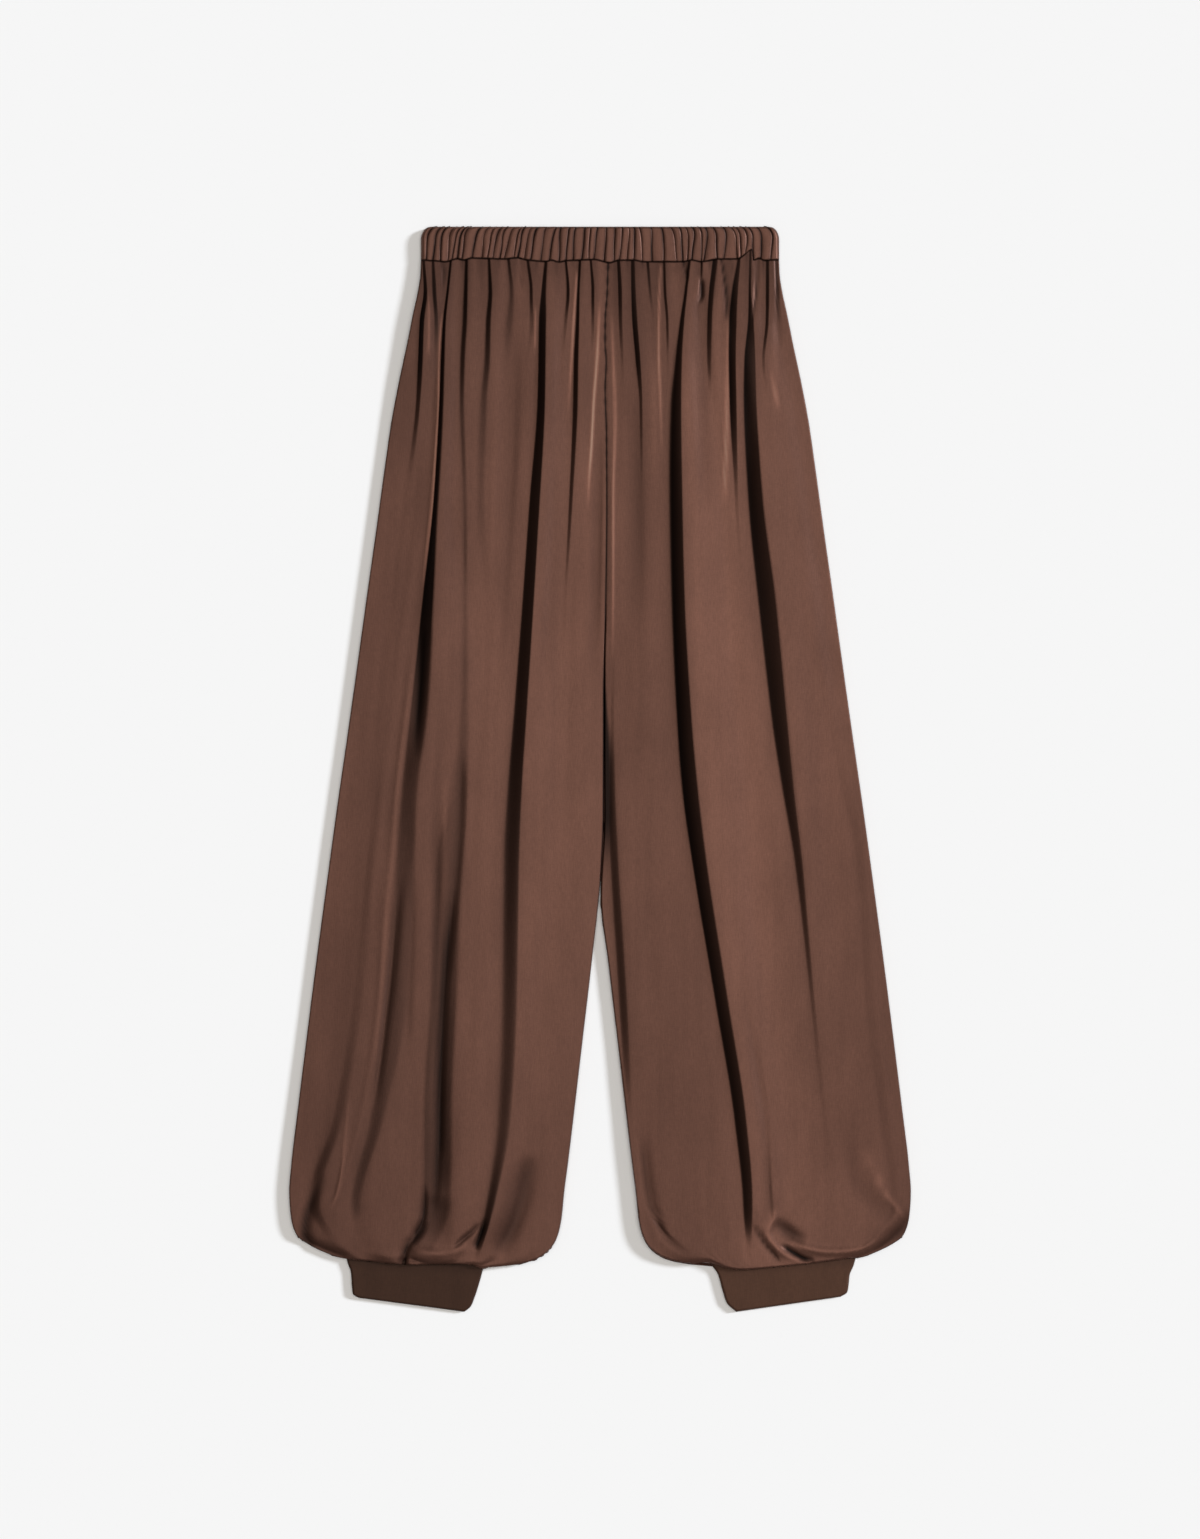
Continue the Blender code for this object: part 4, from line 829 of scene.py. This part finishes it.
def gap_light(side, inner_distance, down):
    """Light that is left where the legs' inner edges lie close together."""
    share = starting(down, GAP_START) * (1.0 - starting(down, GAP_STOP))
    width = GAP_WIDTH[side > 0] + (GAP_GAIN * starting(down, GAP_GAIN_FROM) if side > 0 else 0.0)
    return 1.0 - GAP_DARK * share * (1.0 - ease((inner_distance - 0.5 * width) / width))


def painted_leg_light(side, columns, down):
    """Painted light and shade of the plain satin over a leg."""
    loss = 1.0 - table_curve(RIGHT_PAINTED_LIGHT_ALONG if side > 0 else LEFT_PAINTED_LIGHT_ALONG, down)
    if side > 0:
        factor = RIGHT_PAINTED_LOSS[0] - RIGHT_PAINTED_LOSS[1] * columns
        loss = loss * (1.0 + (factor - 1.0) * starting(down, RIGHT_PAINTED_LOSS_FROM))
    return FULL_PAINTED_BRIGHTNESS * table_curve(RIGHT_PAINTED_LIGHT_ACROSS if side > 0 else LEFT_PAINTED_LIGHT_ACROSS, columns) * (1.0 - loss)


def front_cloth(name, side, folds, creases):
    levels = row_levels()
    outer_out, outer_down, inner_out, inner_down = leg_edges(side, levels)
    columns = grid_columns(*fold_edges(side, folds, levels), outer_out - inner_out)
    out = outer_out[:, None] + columns * (inner_out - outer_out)[:, None]
    down = outer_down[:, None] + columns * (inner_down - outer_down)[:, None]
    stray = table_curve(RIGHT_LIP if side > 0 else LEFT_LIP, out) * starting(levels, LIP_STRAY_FROM)[:, None]
    down = down + stray * quarter_round(columns, LIP_CORNER)
    width = (outer_out - inner_out)[:, None]
    seam_distance = (1.0 - columns) * width
    parting = ease((down - CROTCH) / (LEGS_PART - CROTCH))
    lobe = np.column_stack([out[:, -1], down[:, -1]])[inner_down > CROTCH][::3]
    inner_distance, _ = nearest_on_line(out, down, lobe)
    folded, fold_light = fold_relief(side, folds, out, levels)
    creased, crease_light = crease_relief(creases, out, down)
    height = table_curve(PILLOW, down) + folded + creased + soft_waves(side, columns, levels)
    outer_fall, outer_reach = OUTER_FALL[side > 0]
    inner_fall, inner_reach = INNER_FALL[side > 0]
    height -= outer_fall * (1.0 - ease(columns * width / outer_reach)) * starting(down, FALL_FROM)
    height -= inner_fall * (1.0 - ease(seam_distance / inner_reach)) * parting
    height = LEAST_HEIGHT + 0.5 * (height - LEAST_HEIGHT + np.hypot(height - LEAST_HEIGHT, LEAST_SOFT))
    height -= SEAM_GROOVE[0] * (1.0 - parting) * np.exp(-(seam_distance / SEAM_GROOVE[1]) ** 2)
    outline = np.vstack([
        np.column_stack([out[:, 0], down[:, 0]])[::3],
        np.column_stack([out[-1], down[-1]])[::6],
        [[out[-1, -1], down[-1, -1]]],
    ])
    rounding = quarter_round(nearest_on_line(out, down, outline)[0], EDGE_RADIUS)
    rounding = rounding * (1.0 - parting * (1.0 - quarter_round(inner_distance, EDGE_RADIUS)))
    inside = ease(columns * (1 - columns) / 0.02)
    edge = EDGE_HEIGHT + (LIP_HEIGHT - EDGE_HEIGHT) * inside * starting(down, LIP_RISE_FROM)
    height = edge + (height - edge) * rounding
    # All this light is painted into the colour: painted shade in the folds, creases, gathers, seams and the
    # gap between the legs, painted highlights on the ridges, and painted light and shade across and along the
    # leg.
    light = fold_light * crease_light * painted_leg_light(side, columns, down) * waist_light(side, out, down)
    light = light * centre_seam_light(seam_distance, parting, down) * gap_light(side, inner_distance, down)
    down = down + seam_wave(side * out) * (1.0 - ease((down - BAND_DEPTH) / SEAM_PULL))
    return sheet_mesh(name, side * out, down, height, 1.0 - light, SHEET, upward=True)


def back_cloth(name, side):
    levels = row_levels()[::2]
    columns = np.tile(np.linspace(0, 1, 91), (len(levels), 1))
    outer_out, outer_down, inner_out, inner_down = leg_edges(side, levels)
    overlap = 1.0 - ease((inner_down - 600) / 60) if side > 0 else np.zeros_like(inner_down)
    inner_out = inner_out - 1.4 * overlap
    out = outer_out[:, None] + columns * (inner_out - outer_out)[:, None]
    down = outer_down[:, None] + columns * (inner_down - outer_down)[:, None]
    width = (outer_out - inner_out)[:, None]
    height = 0.7 * overlap[:, None] * np.exp(-((1 - columns) * width / 5.0) ** 2)
    number = np.arange(1, BACK_CHANNELS + 1)
    channels = number / (BACK_CHANNELS + 1) + 0.018 * np.sin(2.3 * number)
    for index, channel in enumerate(channels):
        waist_end = 190 + 90 * np.sin(1.9 * index)
        ankle_start = 850 + 54 * np.sin(2.7 * index + side)
        waist = 1 - ease((down - BAND_DEPTH) / (waist_end - BAND_DEPTH))
        ankle = ease((down - ankle_start) / (990 - ankle_start))
        strength = np.maximum(waist, ankle)
        if index in BACK_LONG:
            strength = np.maximum(strength, 0.6)
        height += BACK_CHANNEL[0] * strength * np.exp(-(((columns - channel) * width) / BACK_CHANNEL[1]) ** 2)
    side_distance = np.minimum(columns, 1 - columns) * width
    lift = 1.4 * (1 - quarter_round(side_distance, 6.0))
    seam_side = (columns > 0.5) & (down < CROTCH)
    height += np.where(seam_side, 0, lift)
    # Painted shade on the back panels: darker where their channels stand higher.
    light = FULL_PAINTED_BRIGHTNESS * BACK_PAINTED_BRIGHTNESS * (1.0 - np.clip(height / 3.0, 0.0, 0.6))
    return sheet_mesh(name, side * out, down, height, 1.0 - light, SHEET, upward=False)


def waistband_face(name, upward):
    ends = [(end * BAND_HALF_WIDTH, end * BAND_HALF_WIDTH, 0.0) for end in (-1, 1)]
    grooves = (ends[0],) + BAND_GROOVES + (ends[1],)
    rows = np.concatenate([[0, 0.4, 1.0, 1.8, 2.8], np.linspace(4.5, 30.5, 14), [31.3, 32.0, 32.5, 33.0]])
    steps = 0.5 - 0.5 * np.cos(np.pi * np.arange(BAND_STEPS) / BAND_STEPS)
    slant = rows[:, None] / BAND_DEPTH
    across = []
    puff = []
    core = []
    for number, (before, after) in enumerate(zip(grooves[:-1], grooves[1:])):
        wander = 0.25 * np.sin(rows[:, None] / 6.0 + 2.4 * number)
        start = before[0] + slant * (before[1] - before[0]) + (wander if number else 0)
        following = 0.25 * np.sin(rows[:, None] / 6.0 + 2.4 * (number + 1))
        last = number == len(grooves) - 2
        end = after[0] + slant * (after[1] - after[0]) + (0 if last else following)
        fullness = 0.75 + 0.25 * np.sin(1.9 * number + rows[:, None] / 11.0)
        lean = 0.12 * np.sin(2.7 * number)
        for share in steps:
            across.append(start + share * (end - start))
            leaned = share + lean * np.sin(np.pi * share)
            puff.append(fullness * np.maximum(np.sin(np.pi * leaned), 0.0) ** 0.55)
            apart = min(share, 1.0 - share) * (end - start)
            dark = after[2] if share > 0.5 else before[2]
            dark = dark * (0.9 + 0.1 * np.sin(2.3 * (number + (share > 0.5)) + rows[:, None] / 7.0))
            narrow, soft = [np.exp(-(apart / half_width) ** 2) for half_width in GROOVE_WIDTHS]
            core.append(dark * (GROOVE_CORE * narrow + (1.0 - GROOVE_CORE) * soft))
    across.append(np.full((len(rows), 1), BAND_HALF_WIDTH))
    puff.append(np.zeros((len(rows), 1)))
    core.append(np.zeros((len(rows), 1)))
    across = np.hstack(across)
    puff = np.hstack(puff)
    core = np.hstack(core)
    corner = BAND_CORNER[0] * (1.0 - quarter_round(rows, BAND_CORNER[1]))
    across = across * (1.0 - corner / BAND_HALF_WIDTH)[:, None]
    down = np.tile(rows[:, None], (1, across.shape[1]))
    end_distance = np.abs(across).max(axis=1)[:, None] - np.abs(across)
    rounded = quarter_round(end_distance, 4.0) * quarter_round(down + 0.3, 2.5)
    low = np.maximum(quarter_round(33.6 - down, 2.2), tuck_share(across))
    # Painted shade: the band's satin is painted darker than the legs', and darker still in its grooves.
    shade = 1.0 - BAND_PAINTED_BRIGHTNESS * (1.0 - core * ease(end_distance / 3.0))
    if upward:
        height = 3.2 + (3.9 + 1.5 * puff) * rounded * (0.55 + 0.45 * low)
        shade = 1.0 - (1.0 - shade) * seam_line_light(across, down - BAND_DEPTH)
        down = down + seam_wave(across) * ease((down - 16.0) / 17.0)
    else:
        height = 1.2 * (1.0 - rounded) + 0.6 * (1.0 - puff) * rounded
    return sheet_mesh(name, across, down, height, shade, BAND_SHEET, upward)


def cuff_face(name, side, upward):
    outer_out, outer_down, inner_out, inner_down = station_curves(RIGHT_CUFF if side > 0 else LEFT_CUFF, 40)
    shares = 0.5 - 0.5 * np.cos(np.pi * np.linspace(0, 1, 90))
    out = outer_out[:, None] + shares * (inner_out - outer_out)[:, None]
    down = outer_down[:, None] + shares * (inner_down - outer_down)[:, None]
    inner_edge = np.column_stack([inner_out, inner_down])
    outline = np.vstack([np.column_stack([outer_out, outer_down]), inner_edge[::-1]])
    rounded = quarter_round(nearest_on_line(out, down, outline)[0], CUFF_EDGE)
    height = 2.0 + 3.2 * rounded if upward else 0.8 * (1 - rounded)
    under_lip = down - (outer_down[0] + shares * (inner_down[0] - outer_down[0]))
    shade = LIP_SHADOW[0] * (1.0 - ease(under_lip / LIP_SHADOW[1])) if upward else np.zeros_like(out)
    if side < 0:
        shade = LEFT_CUFF_SHADE + (1.0 - LEFT_CUFF_SHADE) * shade
    return sheet_mesh(name, side * out, down, height, shade, BAND_SHEET, upward)


def placed(name, data):
    """New object in the scene."""
    thing = bpy.data.objects.new(name, data)
    bpy.context.scene.collection.objects.link(thing)
    return thing


def sheet_mesh(name, across, down, height, shade, thickness, upward):
    """Piece of cloth on a grid of points. How little light is left goes with it as painted shade."""
    rows, columns = across.shape
    points = np.stack([across * MM, (TOTAL_LENGTH / 2 - down) * MM, height * MM], axis=-1)
    number = np.arange(rows * columns).reshape(rows, columns)
    corners = [number[:-1, :-1], number[1:, :-1], number[1:, 1:], number[:-1, 1:]]
    quads = np.stack(corners, axis=-1).reshape(-1, 4)
    first = points[1, 0] - points[0, 0]
    second = points[0, 1] - points[0, 0]
    if (np.cross(first, second)[2] > 0) != upward:
        quads = quads[:, ::-1]
    mesh = bpy.data.meshes.new(name)
    mesh.from_pydata(points.reshape(-1, 3).tolist(), [], quads.tolist())
    # Painted shade: the satin darkens its colour by this value, and paints a highlight where it is below
    # zero.
    painted_shade_and_glint = mesh.attributes.new("painted_shade_and_glint", "FLOAT", "POINT")
    painted_shade_and_glint.data.foreach_set("value", np.ascontiguousarray(shade, dtype=np.float32).ravel())
    mesh.update()
    mesh.shade_smooth()
    piece = placed(name, mesh)
    thicken = piece.modifiers.new("cloth thickness", "SOLIDIFY")
    thicken.thickness = thickness * MM
    thicken.offset = -1.0
    return piece


def fill(tree, socket, value):
    """Set a node's input to a value, or link it to another node's output."""
    if isinstance(value, bpy.types.NodeSocket):
        tree.links.new(value, socket)
    else:
        socket.default_value = value


def node(tree, kind, inputs, output, **settings):
    """New node with its settings and inputs. Gives the output that is asked for."""
    made = tree.nodes.new("ShaderNode" + kind)
    for name, value in settings.items():
        setattr(made, name, value)
    for key, value in inputs.items():
        fill(tree, made.inputs[key], value)
    return made.outputs[output]


def mix_colours(tree, factor, first, second):
    return node(tree, "Mix", {0: factor, 6: first, 7: second}, 2, data_type="RGBA")


def darker(colour, share):
    return tuple(value * share for value in colour) + (1.0,)


def ranged(tree, value, start, end, low=0.0, high=1.0):
    """The value, moved from the range between start and end to that between low and high."""
    inputs = {"Value": value, "From Min": start, "From Max": end, "To Min": low, "To Max": high}
    return node(tree, "MapRange", inputs, "Result")


def noise(tree, scale, detail):
    """Noise from 0 to 1 in the piece's own sizes, finer along an axis the larger its scale is."""
    place = node(tree, "TexCoord", {}, "Object")
    stretched = node(tree, "Mapping", {"Vector": place, "Scale": scale}, "Vector")
    grain = node(tree, "TexNoise", {"Vector": stretched, "Scale": 1.0, "Detail": detail}, "Fac")
    return ranged(tree, grain, 0.32, 0.68)


def overlay(tree, factor, tone, depth):
    """The tone, multiplied by a grey that runs from the depth to as much above one."""
    grey = ranged(tree, factor, 0.0, 1.0, depth, 2.0 - depth)
    return node(tree, "VectorMath", {0: tone, "Scale": grey}, "Vector", operation="SCALE")


def satin(name, colour, roughness, metallic):
    """Satin with clouds and streaks of tone, fine threads both ways, painted shade in its creases and painted
    highlights.
    """
    material = bpy.data.materials.new(name)
    material.use_nodes = True
    tree = material.node_tree
    clouds = noise(tree, (9.0, 6.0, 9.0), 3.0)
    threads = noise(tree, (1500.0, 140.0, 1500.0), 2.0)
    tone = mix_colours(tree, clouds, darker(colour, 0.93), darker(colour, 1.07))
    tone = overlay(tree, noise(tree, (38.0, 22.0, 38.0), 3.0), tone, 0.955)
    tone = overlay(tree, noise(tree, (150.0, 9.0, 150.0), 3.0), tone, 0.965)
    tone = overlay(tree, threads, tone, 0.92)
    tone = overlay(tree, noise(tree, (260.0, 1300.0, 260.0), 2.0), tone, 0.95)
    # Painted shade and highlights: the piece's value darkens the colour where folds, creases, seams and gaps
    # lie in shade, and below zero mixes in the painted highlight colour of the sharpest ridges.
    painted_shade_and_glint = node(tree, "Attribute", {}, "Fac", attribute_name="painted_shade_and_glint")
    tone = mix_colours(tree, ranged(tree, painted_shade_and_glint, 0.0, -1.0), tone, RIDGE_PAINTED_HIGHLIGHT)
    inputs = {
        "Base Color": mix_colours(tree, painted_shade_and_glint, tone, darker(colour, PAINTED_SHADE_REMAINDER)),
        "Roughness": roughness,
        "Metallic": metallic,
        "Specular IOR Level": 0.1,
        "Normal": node(tree, "Bump", {"Strength": 0.12, "Distance": 0.0002, "Height": threads}, "Normal"),
    }
    for key, value in inputs.items():
        fill(tree, tree.nodes["Principled BSDF"].inputs[key], value)
    return material


def dress(piece, material, nodes):
    """Give a piece its material, hang it under the root body and hide the solids that it stands for."""
    piece.data.materials.append(material)
    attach(piece, "root")
    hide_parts(*nodes)


def studio():
    half = 6.0
    corners = [(-half, -half, 0), (half, -half, 0), (half, half, 0), (-half, half, 0)]
    floor_mesh = bpy.data.meshes.new("floor")
    floor_mesh.from_pydata(corners, [], [(0, 1, 2, 3)])
    floor = placed("floor", floor_mesh)
    floor.location.z = -0.0004
    paper = bpy.data.materials.new("white_floor")
    paper.use_nodes = True
    shader = paper.node_tree.nodes["Principled BSDF"]
    shader.inputs["Base Color"].default_value = (0.9, 0.9, 0.9, 1)
    shader.inputs["Roughness"].default_value = 0.95
    shader.inputs["Specular IOR Level"].default_value = 0.0
    floor_mesh.materials.append(paper)


def sun(name, strength, angle, tilt_right, tilt_up, colour):
    """A distant light. Its tilts are degrees from straight above, to the right and to the waist."""
    data = bpy.data.lights.new(name, "SUN")
    data.energy = strength
    data.color = colour
    data.angle = math.radians(angle)
    placed(name, data).rotation_euler = (math.radians(-tilt_up), math.radians(tilt_right), 0)


def camera():
    data = bpy.data.cameras.new("camera")
    data.sensor_fit = "VERTICAL"
    data.sensor_height = 36.0
    data.lens = 85.0
    eye = placed("camera", data)
    frame_height = PHOTO_HEIGHT * PIXEL * MM
    eye.location = (0, 0, frame_height * data.lens / data.sensor_height)
    bpy.context.scene.camera = eye


# The fill is a little warm and the key as much cooler, so that the lit floor is white and the
# shadow warm.
KEY_LIGHT = (1.0, 1.06, 1.137)
FILL_LIGHT = (1.0, 0.963, 0.915)

camera()
studio()
sun("key", 2.87, 10, 63.6, 15, KEY_LIGHT)
sun("top", 1.58, 55, 4, 2, FILL_LIGHT)
world = bpy.data.worlds.new("studio")
bpy.context.scene.world = world
world.use_nodes = True
sky = world.node_tree.nodes["Background"]
sky.inputs["Color"].default_value = (*FILL_LIGHT, 1)
sky.inputs["Strength"].default_value = 0.13
bpy.context.scene.view_settings.view_transform = "Standard"
bpy.context.scene.view_settings.look = "None"

brown = satin("satin_brown", (0.165, 0.0762, 0.054), 0.42, 0.5)
# The cuffs are the same satin as the legs; their darker colour is painted shade.
dark = satin("cuff_satin_painted_shade", (0.0675, 0.0317, 0.0198), 0.55, 0.3)
left_front = front_cloth("front_left_cloth", -1, LEFT_FOLDS, LEFT_CREASES)
right_front = front_cloth("front_right_cloth", 1, RIGHT_FOLDS, RIGHT_CREASES)
dress(left_front, brown, ["front_left"])
dress(right_front, brown, ["front_right"])
dress(back_cloth("back_left_cloth", -1), brown, ["back_left"])
dress(back_cloth("back_right_cloth", 1), brown, ["back_right"])
dress(waistband_face("waistband_front_cloth", True), brown, ["waistband_front"])
dress(waistband_face("waistband_back_cloth", False), brown, ["waistband_back"])
for leg, side in (("left", -1), ("right", 1)):
    for face, upward in (("front", True), ("back", False)):
        half = "cuff_" + leg + "_" + face
        dress(cuff_face(half + "_cloth", side, upward), dark, [half])
